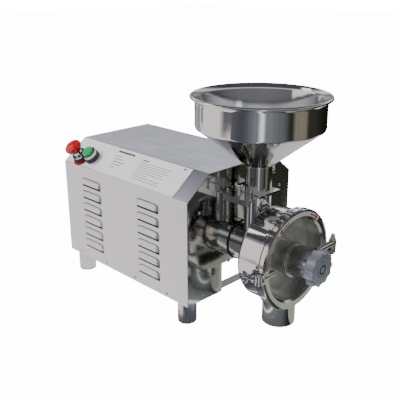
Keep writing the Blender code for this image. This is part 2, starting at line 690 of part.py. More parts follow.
# ---- grinding chamber ---------------------------------------------------------------
def make_drum():
    inside = DRUM_R - DRUM_WALL
    floor = DRUM_BACK + DRUM_WALL
    drum = turned_on_shaft("drum_body", [
        (FLANGE_R, DRUM_FRONT), (FLANGE_R, 0.1125), (DRUM_R, 0.1110), (DRUM_R, DRUM_BACK + 0.0080),
        (DRUM_R - 0.0025, DRUM_BACK + 0.0025), (DRUM_R - 0.0080, DRUM_BACK), (0.0334, DRUM_BACK),
        (0.0334, floor), (inside - 0.0060, floor), (inside, floor + 0.0060), (inside, DRUM_FRONT)],
        36, ring=True)
    x = OUTLET_AHEAD
    neck_r = OUTLET_R - 0.0018
    neck = rod("outlet_neck", neck_r, (x, 0.0, 0.0280), (x, 0.0, SHAFT_Z - 0.0700), 28)
    cut(neck, rod("neck_top", DRUM_R - DRUM_WALL / 2, (0.0600, 0.0, SHAFT_Z),
                  (0.1300, 0.0, SHAFT_Z), 40))
    hinge_x, hinge_y = HINGE_PLACE[0], HINGE_PLACE[1]
    lug_z = (ARM_Z - 0.0190, ARM_Z - 0.0078)
    hinge_lug = box("hinge_lug", (0.1130, 0.1178), (0.0830, 0.1000), lug_z)
    hinge_plate = box("hinge_plate", (0.1135, hinge_x + 0.0070), (0.0950, 0.1160),
                      (lug_z[0] + 0.0001, lug_z[1] - 0.0001))
    hinge_eye = rod("hinge_eye", 0.0075, (hinge_x, hinge_y, lug_z[0]), (hinge_x, hinge_y, lug_z[1]), 16)
    latch_lug = box("latch_lug", (0.1105, 0.1165), (-0.0985, -0.0825),
                    (ARM_Z - 0.0110, ARM_Z + 0.0110))
    join(drum, neck, hinge_lug, hinge_plate, hinge_eye, latch_lug)
    cut(drum,
        rod("outlet_bore", neck_r - 0.0020, (x, 0.0, 0.0), (x, 0.0, SHAFT_Z - 0.0500), 32),
        rod("cover_room", COVER_R + 0.0006, (DRUM_FRONT + GAP, 0.0, SHAFT_Z),
            (0.1400, 0.0, SHAFT_Z), 48),
        rod("hinge_hole", 0.0033, (hinge_x, hinge_y, 0.05), (hinge_x, hinge_y, 0.20), 16),
        box("latch_notch", (0.1000, 0.1200), (-0.1200, -0.0953), (ARM_Z - 0.0034, ARM_Z + 0.0034)))
    as_part(drum, STEEL)

    spout = turned("outlet_spout", ring_section(neck_r + GAP, OUTLET_R, OUTLET_BOTTOM, OUTLET_TOP),
                   28, ring=True)
    spout.location = (x, 0.0, 0.0)
    as_part(spout, STEEL)
    gasket = turned_on_shaft("chamber_gasket",
                             ring_section(inside + 0.0003, FLANGE_R - 0.0005,
                                          DRUM_FRONT + GAP, COVER_BACK - GAP), 36, ring=True)
    as_part(gasket, ((0.70, 0.69, 0.66), 0.0, 0.60))


def make_burrs():
    back = DRUM_BACK + DRUM_WALL + GAP
    face = 0.0740
    front = face + BURR_GAP
    fixed = turned_on_shaft("fixed_burr", [
        (BURR_R, face), (BURR_R, back), (0.0240, back), (0.0240, face - 0.0030), (0.0300, face - 0.0030),
        (0.0380, face)], 28, ring=True)
    as_part(fixed, CAST)
    plate_back = 0.0846
    moving = turned_on_shaft("rotating_burr", [
        (BURR_R, plate_back), (BURR_R, front), (0.0380, front), (0.0300, front + 0.0030),
        (BORE_R, front + 0.0030), (BORE_R, plate_back)], 28, ring=True)
    as_part(moving, CAST)
    carrier = turned_on_shaft("burr_carrier", [
        (0.0, 0.0935), (0.0160, 0.0935), (0.0160, 0.0890), (0.0600, 0.0890),
        (0.0600, plate_back + GAP), (BORE_R, plate_back + GAP), (BORE_R, 0.0900), (0.0, 0.0900)], 28)
    as_part(carrier, STEEL)


def make_cover():
    bore = SPINDLE_R + GAP
    cover = turned_on_shaft("chamber_cover", [
        (BOSS_R, BOSS_END), (BOSS_R, POCKET_FLOOR), (POCKET_R, POCKET_FLOOR),
        (POCKET_R, COVER_FRONT - 0.0040), (POCKET_R + 0.0030, COVER_FRONT), (COVER_R - 0.0030, COVER_FRONT),
        (COVER_R - 0.0009, COVER_FRONT - 0.0009), (COVER_R, COVER_FRONT - 0.0030),
        (COVER_R, COVER_BACK), (POCKET_R + 0.0025, COVER_BACK), (POCKET_R + 0.0025, 0.0945),
        (0.0200, 0.0945), (0.0200, 0.1050), (bore, 0.1050), (bore, BOSS_END)], 36, ring=True)
    arm_x = ARM_AHEAD
    hinge_x, hinge_y = HINGE_PLACE[0], HINGE_PLACE[1]
    latch_x, latch_y = LATCH_PLACE[0], LATCH_PLACE[1]
    right = rod("right_arm", ARM_R, (arm_x, ARM_INNER, ARM_Z), (arm_x, hinge_y - 0.0060, ARM_Z), 16)
    knuckle = rod("knuckle", 0.0076, (hinge_x, hinge_y, ARM_Z - 0.0075),
                  (hinge_x, hinge_y, ARM_Z + 0.0068), 16)
    left = rod("left_arm", ARM_R, (arm_x, -ARM_INNER, ARM_Z), (arm_x, -0.0950, ARM_Z), 16)
    ear = rod("latch_ear", 0.0068, (latch_x, latch_y, ARM_Z - 0.0090),
              (latch_x, latch_y, ARM_Z + 0.0090), 16)
    ear_root = box("latch_root", (latch_x - 0.0064, latch_x + 0.0064), (latch_y, -0.0880),
                   (ARM_Z - 0.0090, ARM_Z + 0.0090))
    join(cover, right, knuckle, left, ear_root, ear)
    cut(cover,
        box("latch_gap", (latch_x - 0.02, latch_x + 0.02), (-0.1200, -0.0925), (ARM_Z - 0.0043, ARM_Z + 0.0043)),
        rod("latch_pin_hole", 0.0027, (latch_x, latch_y, 0.05), (latch_x, latch_y, 0.20), 12),
        rod("knuckle_hole", 0.0033, (hinge_x, hinge_y, 0.05), (hinge_x, hinge_y, 0.20), 16))
    as_part(cover, STEEL)

    pin_low, pin_top = ARM_Z - 0.0230, ARM_Z + 0.0190
    hinge_pin = turned("cover_hinge_pin", [
        (0.0, pin_top), (0.0028, pin_top - 0.0008), (0.0045, pin_top - 0.0040), (0.0045, ARM_Z + 0.0108),
        (0.0056, ARM_Z + 0.0108), (0.0056, ARM_Z + 0.0071), (0.0030, ARM_Z + 0.0071),
        (0.0030, ARM_Z - 0.0193), (0.0050, ARM_Z - 0.0193), (0.0050, pin_low), (0.0, pin_low)], 16)
    hinge_pin.location = (hinge_x, hinge_y, 0.0)
    as_part(hinge_pin, STEEL)
    latch_pin = turned("latch_pin", [
        (0.0, ARM_Z + 0.0112), (0.0040, ARM_Z + 0.0112), (0.0040, ARM_Z + 0.0093), (0.0024, ARM_Z + 0.0093),
        (0.0024, ARM_Z - 0.0093), (0.0040, ARM_Z - 0.0093), (0.0040, ARM_Z - 0.0112), (0.0, ARM_Z - 0.0112)], 14)
    latch_pin.location = (latch_x, latch_y, 0.0)
    as_part(latch_pin, STEEL)


def make_latch():
    pivot = Vector((LATCH_PLACE[0], LATCH_PLACE[1], ARM_Z))
    along = Vector((-cos(LATCH_REST), -sin(LATCH_REST), 0.0))
    up = Vector((0.0, 0.0, 1.0))
    bolt = rod("latch_bolt", 0.0060, pivot - up * 0.0040, pivot + up * 0.0040, 20)
    join(bolt, rod("latch_rod", 0.0027, pivot + along * 0.0045, pivot + along * 0.0330, 12))
    cut(bolt, rod("latch_eye", 0.0027, pivot - up * 0.02, pivot + up * 0.02, 12))
    as_part(bolt, STEEL)

    nut = rod("latch_wing_nut", 0.0055, pivot + along * 0.0176, pivot + along * 0.0262, 16)
    wings = box("nut_wings", (-0.0014, 0.0014), (-0.0130, 0.0130), (0.0030, 0.0140))
    wings.data.transform(Matrix.Translation(wings.location))
    wings.location = nut.location
    wings.rotation_euler = nut.rotation_euler
    middle = box("wing_gap", (-0.0100, 0.0100), (-0.0032, 0.0032), (0.0086, 0.0300))
    middle.data.transform(Matrix.Translation(middle.location))
    middle.location = nut.location
    middle.rotation_euler = nut.rotation_euler
    join(nut, rounded(wings, 0.0012))
    cut(nut, middle, rod("nut_hole", 0.0030, pivot + along * 0.0100, pivot + along * 0.0400, 12))
    as_part(nut, STEEL)


# ---- gap adjuster -------------------------------------------------------------------
def make_adjuster():
    ring = turned_on_shaft("lock_ring", ring_section(SPINDLE_R + 0.0006, 0.0320, BOSS_END + GAP,
                                                    0.1282), 28, ring=True)
    as_part(ring, ((0.72, 0.69, 0.60), 0.0, 0.45))
    bearing = turned_on_shaft("thrust_bearing", [
        (0.0, 0.1000), (0.0160, 0.1000), (0.0160, 0.0938), (0.0, 0.0938)], 20)
    as_part(bearing, STEEL)
    back, front = 0.1293, 0.1655
    spindle = turned_on_shaft("adjusting_spindle", [
        (0.0, front), (SPINDLE_R, front), (SPINDLE_R, 0.1015), (SPINDLE_R - 0.0012, 0.1003), (0.0, 0.1003)], 20)
    as_part(spindle, STEEL)
    sleeve = turned_on_shaft("adjusting_sleeve", ring_section(SPINDLE_R + GAP, SLEEVE_R, back, front),
                             28, ring=True)
    as_part(sleeve, STEEL)

    knob_back, knob_front = front + GAP, KNOB_END - 0.0002
    count = KNOB_LOBES * 8
    outline = [((KNOB_R + 0.0014 * cos(KNOB_LOBES * a)) * cos(a), (KNOB_R + 0.0014 * cos(KNOB_LOBES * a)) * sin(a))
               for a in (2 * pi * step / count for step in range(count))]
    knob = extruded("adjusting_knob", outline, knob_front - knob_back)
    knob.location = (knob_back, 0.0, SHAFT_Z)
    cut(knob, rod("cap_recess", 0.0125, (knob_front - 0.0020, 0.0, SHAFT_Z), (0.2, 0.0, SHAFT_Z), 24))
    as_part(knob, ((0.45, 0.47, 0.52), 0.9, 0.35))
    cap = turned_on_shaft("knob_cap", [
        (0.0, KNOB_END), (0.0114, KNOB_END), (0.0122, KNOB_END - 0.0006),
        (0.0122, knob_front - 0.0017), (0.0, knob_front - 0.0017)], 20)
    as_part(cap, ((0.45, 0.47, 0.52), 0.9, 0.35))


def centre_on_floor():
    """Hang every piece and cutter on one empty, so that the origin is under the middle."""
    machine = bpy.data.objects.new("machine", None)
    machine.location = (FRONT_X, SHAFT_Y, 0.0)
    TOOLS.objects.link(machine)
    for obj in list(PARTS.objects) + list(TOOLS.objects):
        if obj is not machine:
            obj.parent = machine


clear_scene()
PARTS = collection("grain_grinder")
TOOLS = collection("cutters")
make_cabinet_cover()
make_end_plates()
make_cable_gland()
make_base_frame()
make_legs()
make_label_panel()
make_controls()
make_motor()
make_capacitors()
make_feed_barrel()
make_feed_screw()
make_gate()
make_hopper()
make_drum()
make_burrs()
make_cover()
make_latch()
make_adjuster()
centre_on_floor()
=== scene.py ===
# %% [markdown]
# # A bench-top grain grinder
# The machine is bent from polished stainless sheet, with a screw-fed chamber at the front.
# Its solids come ready made and in place. This lesson gives them their finishes, and makes
# finer pieces where a plain solid is too coarse: the louvred cover, the hopper, the knob,
# the wing screws, the printed label and the small screws.

# %% Load the solids
from math import cos, pi, radians, sin

import bmesh
import bpy
import numpy as np
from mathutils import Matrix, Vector


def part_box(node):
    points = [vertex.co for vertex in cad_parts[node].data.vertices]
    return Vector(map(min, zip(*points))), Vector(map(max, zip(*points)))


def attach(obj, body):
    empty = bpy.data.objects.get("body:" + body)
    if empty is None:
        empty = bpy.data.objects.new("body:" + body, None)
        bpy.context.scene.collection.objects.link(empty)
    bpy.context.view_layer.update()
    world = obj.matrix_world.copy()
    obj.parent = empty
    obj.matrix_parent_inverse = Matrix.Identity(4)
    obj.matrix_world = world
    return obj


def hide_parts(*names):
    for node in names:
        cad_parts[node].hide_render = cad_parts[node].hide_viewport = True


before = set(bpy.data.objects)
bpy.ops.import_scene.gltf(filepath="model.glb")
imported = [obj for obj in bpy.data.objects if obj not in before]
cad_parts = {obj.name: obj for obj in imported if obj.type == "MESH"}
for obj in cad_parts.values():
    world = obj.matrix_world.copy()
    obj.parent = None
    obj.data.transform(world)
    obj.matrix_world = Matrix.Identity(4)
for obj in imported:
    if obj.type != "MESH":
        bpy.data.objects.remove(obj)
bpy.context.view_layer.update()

# %% [markdown]
# Nearly everything is placed from two lines: the front plate's outer face, and the shaft.
# `at` turns a distance ahead of the plate, a distance to the right of the shaft and a
# height into a point, so each number below is one that could be measured on the machine.

# %% Find the front plate and the shaft
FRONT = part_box("front_plate")[1].x
SHAFT_LOW, SHAFT_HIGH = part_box("main_shaft")
SHAFT_Y = (SHAFT_LOW.y + SHAFT_HIGH.y) / 2
SHAFT_Z = (SHAFT_LOW.z + SHAFT_HIGH.z) / 2


def at(ahead, right, height):
    """A point from distances ahead of the plate and right of the shaft, and a height."""
    return np.array([FRONT + ahead, SHAFT_Y + right, height])


print("front plate", round(FRONT, 4), "shaft", round(SHAFT_Y, 4), round(SHAFT_Z, 4))

# %% [markdown]
# A shape here is a grid of points worked out all at once. `grid_faces` joins the points of
# a grid into squares, and `add_piece` puts points and faces into a mesh, marks the edges
# that turn by more than 30 degrees as sharp, and makes the piece ride on its body.

# %% Grids and pieces
def grid_faces(rows, columns, wrap_rows=False, wrap_columns=False, start=0):
    """Corners of each square: point (i, j), then (i, j+1), (i+1, j+1) and (i+1, j)."""
    i, j = np.meshgrid(np.arange(rows if wrap_rows else rows - 1),
                       np.arange(columns if wrap_columns else columns - 1), indexing="ij")
    i, j = i.ravel(), j.ravel()
    down, across = (i + 1) % rows, (j + 1) % columns
    return start + np.stack([i * columns + j, i * columns + across,
                             down * columns + across, down * columns + j], axis=1)


def add_piece(name, points, faces, material, body, sharp=30, kinds=None):
    """A mesh from points (n, 3) and faces, cleaned of doubled points, facing outwards."""
    mesh = bpy.data.meshes.new(name)
    corners = faces.tolist() if isinstance(faces, np.ndarray) else faces
    mesh.from_pydata(np.asarray(points).reshape(-1, 3).tolist(), [], corners)
    materials = material if isinstance(material, list) else [material]
    for each in materials:
        mesh.materials.append(each)
    if kinds is not None:
        mesh.polygons.foreach_set("material_index", np.asarray(kinds, np.int32))
    work = bmesh.new()
    work.from_mesh(mesh)
    bmesh.ops.remove_doubles(work, verts=work.verts, dist=1e-6)
    bmesh.ops.dissolve_degenerate(work, edges=work.edges, dist=1e-7)
    bmesh.ops.recalc_face_normals(work, faces=work.faces)
    for face in work.faces:
        face.smooth = True
    for edge in work.edges:
        edge.smooth = len(edge.link_faces) == 2 and edge.calc_face_angle(0.0) < radians(sharp)
    work.to_mesh(mesh)
    work.free()
    piece = bpy.data.objects.new(name, mesh)
    bpy.context.scene.collection.objects.link(piece)
    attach(piece, body)
    print(name, len(mesh.polygons), "faces")
    return piece


# %% [markdown]
# Most of the machine is turned, so a profile is spun round an axis. A sharp corner on real
# sheet or bar is never quite sharp. `eased` replaces each corner of a profile by a short
# arc, and that thin band is what catches the light along an edge.

# %% Turned shapes
def eased(outline, radius, steps=4):
    """Each corner becomes a quadratic arc between points at radius along its two sides."""
    corners = np.asarray(outline, float)
    before = np.roll(corners, 1, axis=0) - corners
    after = np.roll(corners, -1, axis=0) - corners
    reach = np.minimum(radius, 0.45 * np.minimum(np.linalg.norm(before, axis=1),
                                                 np.linalg.norm(after, axis=1)))[:, None]
    start = corners + before / np.linalg.norm(before, axis=1)[:, None] * reach
    end = corners + after / np.linalg.norm(after, axis=1)[:, None] * reach
    t = np.linspace(0.0, 1.0, steps + 1)[None, :, None]
    arcs = (1 - t) ** 2 * start[:, None] + 2 * t * (1 - t) * corners[:, None] + t ** 2 * end[:, None]
    return arcs.reshape(-1, 2)


def frame_of(direction):
    """Two unit vectors square to direction and to each other, as rows, then direction."""
    along = np.asarray(direction, float)
    along = along / np.linalg.norm(along)
    helper = np.array([0.0, 0.0, 1.0]) if abs(along[2]) < 0.9 else np.array([1.0, 0.0, 0.0])
    across = np.cross(helper, along)
    across = across / np.linalg.norm(across)
    return np.stack([across, np.cross(along, across), along])


def spin(outline, centre, direction, sides=96):
    """Points of a profile (radius, height) turned about an axis: centre + r(a) + h along."""
    profile = np.asarray(outline, float)
    turn = np.linspace(0.0, 2 * pi, sides, endpoint=False)
    local = np.stack([profile[:, :1] * np.cos(turn), profile[:, :1] * np.sin(turn),
                      np.repeat(profile[:, 1:], sides, axis=1)], axis=-1)
    return np.asarray(centre) + local @ frame_of(direction)


def spun(name, outline, centre, direction, material, body, sides=96, sharp=30):
    """A solid whose closed profile is turned about an axis."""
    points = spin(outline, centre, direction, sides)
    faces = grid_faces(len(outline), sides, wrap_rows=True, wrap_columns=True)
    return add_piece(name, points, faces, material, body, sharp)


def many(shape, faces, places):
    """The same small shape (n, 3) copied to every place, as one set of points and faces."""
    places = np.asarray(places)
    points = (shape[None, :, :] + places[:, None, :]).reshape(-1, 3)
    steps = np.arange(len(places))[:, None, None] * len(shape)
    return points, (faces[None] + steps).reshape(-1, faces.shape[1])


# %% [markdown]
# Steel takes its look from three things: how sharply it reflects, the fine lines that the
# polishing wheel left, and faint marks of handling. The lines come from noise that is
# stretched a hundred times along the grain, or wrapped round the axis on a turned piece.

# %% Material helpers
def add_node(tree, kind, **settings):
    made = tree.nodes.new(kind)
    for key, value in settings.items():
        if hasattr(made, key):
            setattr(made, key, value)
        else:
            made.inputs[key.replace("_", " ")].default_value = value
    return made


def maths(tree, operation, first, second=0.0):
    made = add_node(tree, "ShaderNodeMath", operation=operation)
    for socket, value in zip(made.inputs, (first, second)):
        if isinstance(value, (int, float)):
            socket.default_value = value
        else:
            tree.links.new(value, socket)
    return made.outputs[0]


def spread(tree, value, low, high, from_low=0.3, from_high=0.7):
    """Map a value from one range to another, clamped."""
    made = add_node(tree, "ShaderNodeMapRange")
    for key, number in (("From Min", from_low), ("From Max", from_high), ("To Min", low), ("To Max", high)):
        made.inputs[key].default_value = number
    tree.links.new(value, made.inputs["Value"])
    return made.outputs[0]


def grain(tree, lay, centre):
    """Coordinates whose noise runs in lines along X, Y or Z, or in rings round X or Z."""
    place = add_node(tree, "ShaderNodeTexCoord").outputs["Object"]
    moved = add_node(tree, "ShaderNodeVectorMath", operation="SUBTRACT")
    tree.links.new(place, moved.inputs[0])
    moved.inputs[1].default_value = tuple(float(c) for c in centre)
    if lay in "xyz":
        scale = add_node(tree, "ShaderNodeVectorMath", operation="MULTIPLY")
        tree.links.new(moved.outputs[0], scale.inputs[0])
        scale.inputs[1].default_value = tuple(8.0 if axis == lay else 700.0 for axis in "xyz")
        return place, scale.outputs[0]
    parts = add_node(tree, "ShaderNodeSeparateXYZ")
    tree.links.new(moved.outputs[0], parts.inputs[0])
    along, one, two = {"ring_x": ("X", "Y", "Z"), "ring_z": ("Z", "X", "Y")}[lay]
    square = maths(tree, "ADD", maths(tree, "POWER", parts.outputs[one], 2.0),
                   maths(tree, "POWER", parts.outputs[two], 2.0))
    joined = add_node(tree, "ShaderNodeCombineXYZ")
    tree.links.new(maths(tree, "MULTIPLY", maths(tree, "SQRT", square), 900.0), joined.inputs[0])
    tree.links.new(maths(tree, "MULTIPLY", parts.outputs[along], 900.0), joined.inputs[1])
    return place, joined.outputs[0]


def start_material(name, metallic, roughness, colour):
    material = bpy.data.materials.new(name)
    material.use_nodes = True
    tree = material.node_tree
    shader = tree.nodes["Principled BSDF"]
    shader.inputs["Metallic"].default_value = metallic
    shader.inputs["Roughness"].default_value = roughness
    shader.inputs["Base Color"].default_value = (*colour, 1.0)
    return material, tree, shader


def tinted(tree, value, colour, strength):
    """The colour, made lighter and darker by strength as value goes from low to high."""
    ramp = add_node(tree, "ShaderNodeValToRGB")
    ramp.color_ramp.elements[0].position = 0.3
    ramp.color_ramp.elements[1].position = 0.7
    ramp.color_ramp.elements[0].color = (*[c * (1 - strength) for c in colour], 1.0)
    ramp.color_ramp.elements[1].color = (*[min(1.0, c * (1 + strength)) for c in colour], 1.0)
    tree.links.new(value, ramp.inputs[0])
    return ramp.outputs[0]


def bumped(tree, shader, value, depth, strength=1.0):
    bump = add_node(tree, "ShaderNodeBump")
    bump.inputs["Distance"].default_value = depth
    bump.inputs["Strength"].default_value = strength
    tree.links.new(value, bump.inputs["Height"])
    tree.links.new(bump.outputs[0], shader.inputs["Normal"])


def steel(name, colour, roughness, lay="x", centre=(0, 0, 0), lines=0.00001, waver=0.00008, marks=0.06,
          metallic=1.0):
    """Polished steel: lines along the lay, a slow waver of the sheet, and faint marks."""
    material, tree, shader = start_material(name, metallic, roughness, colour)
    place, stretched = grain(tree, lay, centre)
    fine = add_node(tree, "ShaderNodeTexNoise", Scale=1.0, Detail=3.0)
    slow = add_node(tree, "ShaderNodeTexNoise", Scale=26.0, Detail=2.0)
    tree.links.new(stretched, fine.inputs["Vector"])
    tree.links.new(place, slow.inputs["Vector"])
    tree.links.new(tinted(tree, slow.outputs["Fac"], colour, marks), shader.inputs["Base Color"])
    rough = maths(tree, "ADD", spread(tree, fine.outputs["Fac"], 0.75 * roughness, 1.2 * roughness),
                  spread(tree, slow.outputs["Fac"], 0.0, 0.25 * roughness))
    tree.links.new(rough, shader.inputs["Roughness"])
    height = maths(tree, "ADD", maths(tree, "MULTIPLY", fine.outputs["Fac"], lines),
                   maths(tree, "MULTIPLY", slow.outputs["Fac"], waver))
    bumped(tree, shader, height, 1.0)
    return material


def plastic(name, colour, roughness, speckle=900.0, depth=0.00003, marks=0.10, coat=0.0):
    """Moulded plastic, rubber or paint: a fine skin of pits, and a slow change of tone."""
    material, tree, shader = start_material(name, 0.0, roughness, colour)
    shader.inputs["Coat Weight"].default_value = coat
    place = add_node(tree, "ShaderNodeTexCoord").outputs["Object"]
    pits = add_node(tree, "ShaderNodeTexNoise", Scale=speckle, Detail=2.0)
    slow = add_node(tree, "ShaderNodeTexNoise", Scale=45.0, Detail=3.0)
    for noise in (pits, slow):
        tree.links.new(place, noise.inputs["Vector"])
    tree.links.new(tinted(tree, slow.outputs["Fac"], colour, marks), shader.inputs["Base Color"])
    tree.links.new(spread(tree, pits.outputs["Fac"], 0.85 * roughness, min(1.0, 1.15 * roughness)),
                   shader.inputs["Roughness"])
    bumped(tree, shader, pits.outputs["Fac"], depth)
    return material


# %% [markdown]
# The finishes, in a maker's words. The cover is satin sheet with lines along its length.
# The plate, the barrel and the hopper are polished until they mirror. The chamber is a
# polished casting, which reflects nearly as well but is never as flat.

# %% Finishes
ON_SHAFT = (0.0, SHAFT_Y, SHAFT_Z)
ON_THROAT = tuple(at(0.0375, 0.0, 0.0))
ON_OUTLET = tuple(at(0.0955, 0.0, 0.0))

FINISH = {
    "satin_sheet": steel("satin_sheet", (0.72, 0.72, 0.73), 0.34, "x", marks=0.03, waver=0.0001),
    "mirror_sheet": steel("mirror_sheet", (0.60, 0.60, 0.57), 0.08, "z", marks=0.04, waver=0.00012),
    "mirror_band": steel("mirror_band", (0.66, 0.64, 0.63), 0.06, "ring_x", ON_SHAFT, marks=0.03),
    "pocket_polish": steel("pocket_polish", (0.52, 0.54, 0.49), 0.30, "ring_x", ON_SHAFT, marks=0.05,
                           metallic=0.45),
    "mirror_barrel": steel("mirror_barrel", (0.60, 0.60, 0.58), 0.07, "ring_x", ON_SHAFT, marks=0.05),
    "mirror_hopper": steel("mirror_hopper", (0.68, 0.68, 0.67), 0.085, "ring_z", ON_THROAT, marks=0.04),
    "mirror_outlet": steel("mirror_outlet", (0.62, 0.62, 0.60), 0.07, "ring_z", ON_OUTLET, marks=0.05),
    "gate_sheet": steel("gate_sheet", (0.44, 0.43, 0.40), 0.10, "y", marks=0.05),
    "cast_polish": steel("cast_polish", (0.66, 0.64, 0.62), 0.10, "ring_x", ON_SHAFT, marks=0.06,
                         waver=0.0002),
    "turned_polish": steel("turned_polish", (0.70, 0.71, 0.74), 0.16, "ring_x", ON_SHAFT, lines=0.00003),
    "satin_legs": steel("satin_legs", (0.66, 0.66, 0.66), 0.26, "z", marks=0.05),
    "frame_sheet": steel("frame_sheet", (0.50, 0.50, 0.50), 0.32, "x", marks=0.08),
    "bright_screw": steel("bright_screw", (0.74, 0.74, 0.73), 0.14, "z", marks=0.06),
    "ring_alloy": steel("ring_alloy", (0.78, 0.75, 0.68), 0.42, "ring_x", ON_SHAFT, lines=0.00004),
    "knob_alloy": steel("knob_alloy", (0.50, 0.54, 0.62), 0.42, "x", marks=0.07, lines=0.00003,
                        metallic=0.75),
    # painted shade: near-black finish for the recessed key way in the knob's face
    "knob_painted_shade": steel("knob_painted_shade", (0.05, 0.05, 0.06), 0.38, "ring_x", ON_SHAFT),
    "chrome": steel("chrome", (0.55, 0.55, 0.56), 0.08, "z", marks=0.03),
    "burr_iron": steel("burr_iron", (0.20, 0.20, 0.21), 0.50, "ring_x", ON_SHAFT, marks=0.15),
    "core_steel": steel("core_steel", (0.28, 0.27, 0.26), 0.50, "ring_x", ON_SHAFT, marks=0.12),
    "motor_paint": plastic("motor_paint", (0.075, 0.085, 0.095), 0.45, 500.0, 0.00005, coat=0.2),
    "black_plastic": plastic("black_plastic", (0.018, 0.018, 0.019), 0.42),
    "black_rubber": plastic("black_rubber", (0.022, 0.022, 0.022), 0.70, 700.0, 0.00006),
    "pale_seal": plastic("pale_seal", (0.62, 0.61, 0.57), 0.65),
    "label_film": plastic("label_film", (0.93, 0.90, 0.91), 0.40, 1500.0, 0.000008, marks=0.015),
    "print_ink": plastic("print_ink", (0.10, 0.10, 0.11), 0.50, marks=0.15),
    "rim_film": plastic("rim_film", (0.84, 0.84, 0.83), 0.40, marks=0.02),
    "red_ink": plastic("red_ink", (0.60, 0.03, 0.03), 0.45, marks=0.08),
    "stop_red": plastic("stop_red", (0.50, 0.004, 0.008), 0.24, 1200.0, 0.00001, marks=0.05, coat=0.4),
    "stop_ring": plastic("stop_ring", (0.30, 0.012, 0.015), 0.45, marks=0.10),
    "start_green": plastic("start_green", (0.02, 0.40, 0.12), 0.26, 1200.0, 0.00001, marks=0.05, coat=0.3),
    # painted shade: a dark line along the top fold of each louvre
    "fold_shade": steel("fold_shade", (0.07, 0.07, 0.07), 0.50, "x", marks=0.05),
    # painted shade: near-black finish on the sheet under each louvre's lip
    "louvre_painted_shade": plastic("louvre_painted_shade", (0.030, 0.030, 0.032), 0.80),
}
print(len(FINISH), "finishes")

# %% Finishes for the solids
SOLID_FINISH = {
    "mirror_sheet": ["front_plate"],
    "mirror_barrel": ["feed_barrel"],
    "gate_sheet": ["gate_housing", "slide_gate"],
    "mirror_outlet": ["outlet_spout"],
    "satin_sheet": ["rear_plate"],
    "frame_sheet": ["base_frame", "fan_cowl", "capacitor_bracket"],
    "satin_legs": ["leg_front_left", "leg_front_right", "leg_rear_left", "leg_rear_right"],
    "cast_polish": ["drum_body", "chamber_cover"],
    "turned_polish": ["main_shaft", "adjusting_spindle", "adjusting_sleeve", "feed_screw", "thrust_bearing",
                      "front_bearing", "rear_bearing"],
    "bright_screw": ["cover_hinge_pin", "latch_pin", "latch_bolt", "estop_stem"],
    "ring_alloy": ["lock_ring"],
    "knob_alloy": ["knob_cap"],
    "chrome": ["estop_collar", "start_bezel"],
    "burr_iron": ["fixed_burr", "rotating_burr", "burr_carrier"],
    "core_steel": ["stator", "rotor"],
    "motor_paint": ["motor_housing", "motor_front_shield", "motor_rear_shield"],
    "black_plastic": ["cooling_fan", "cable_gland", "estop_switch_block", "start_switch_block",
                      "start_capacitor", "run_capacitor"],
    "black_rubber": ["foot_pad_front_left", "foot_pad_front_right", "foot_pad_rear_left",
                     "foot_pad_rear_right", "shaft_seal"],
    "pale_seal": ["chamber_gasket"],
    "label_film": ["label_panel"],
    "stop_red": ["estop_head"],
    "stop_ring": ["estop_legend"],
    "start_green": ["start_button"],
}


def smoothing_group():
    """Geometry nodes: merge the loose triangles, then shade smooth except at sharp edges."""
    group = bpy.data.node_groups.new("round_shading", "GeometryNodeTree")
    group.interface.new_socket("Geometry", in_out="INPUT", socket_type="NodeSocketGeometry")
    group.interface.new_socket("Geometry", in_out="OUTPUT", socket_type="NodeSocketGeometry")
    entry, leave = group.nodes.new("NodeGroupInput"), group.nodes.new("NodeGroupOutput")
    weld = group.nodes.new("GeometryNodeMergeByDistance")
    weld.inputs["Distance"].default_value = 0.000002
    faces = group.nodes.new("GeometryNodeSetShadeSmooth")
    edges = group.nodes.new("GeometryNodeSetShadeSmooth")
    edges.domain = "EDGE"
    angle = group.nodes.new("GeometryNodeInputMeshEdgeAngle")
    below = group.nodes.new("FunctionNodeCompare")
    below.data_type = "FLOAT"
    below.operation = "LESS_THAN"
    below.inputs[1].default_value = radians(28)
    group.links.new(entry.outputs[0], weld.inputs["Geometry"])
    group.links.new(weld.outputs[0], faces.inputs["Geometry"])
    group.links.new(faces.outputs[0], edges.inputs["Geometry"])
    group.links.new(angle.outputs["Unsigned Angle"], below.inputs[0])
    group.links.new(below.outputs[0], edges.inputs["Shade Smooth"])
    group.links.new(edges.outputs[0], leave.inputs[0])
    return group


ROUND_SHADING = smoothing_group()
for finish, names in SOLID_FINISH.items():
    for name in names:
        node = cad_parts[name]
        node.data.materials.clear()
        node.data.materials.append(FINISH[finish])
        node.modifiers.new("Round shading", "NODES").node_group = ROUND_SHADING
print(sum(len(names) for names in SOLID_FINISH.values()), "solids finished")

# %% [markdown]
# ## The louvred cover
# One sheet is folded over the machine: two sides, two slopes and a roof. Each louvre is a
# slit whose upper lip was pressed outwards in a die, so it bulges like an eyelid, with its
# ends drawn down to the slit. The whole sheet is one grid: along the machine one way, and
# round its section the other. Pressing a louvre is then adding a height to some points.

# %% The folded section and the louvres' places
COVER_LOW, COVER_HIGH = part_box("cabinet_cover")
REAR, COVER_BOTTOM, ROOF = COVER_LOW.x, COVER_LOW.z, COVER_HIGH.z
HALF = 0.1400
SIDE_TOP = 0.2400
ROOF_HALF = 0.0870
SHEET = 0.0015
LOUVRE_CENTRES = [FRONT - 0.2750, FRONT - 0.1035]
LOUVRE_HALF = 0.0300
LOUVRE_ROWS = 0.0790 + 0.0265 * np.arange(6)
LOUVRE_RISE = 0.0110
LOUVRE_OUT = 0.0044
BEND = 0.0020


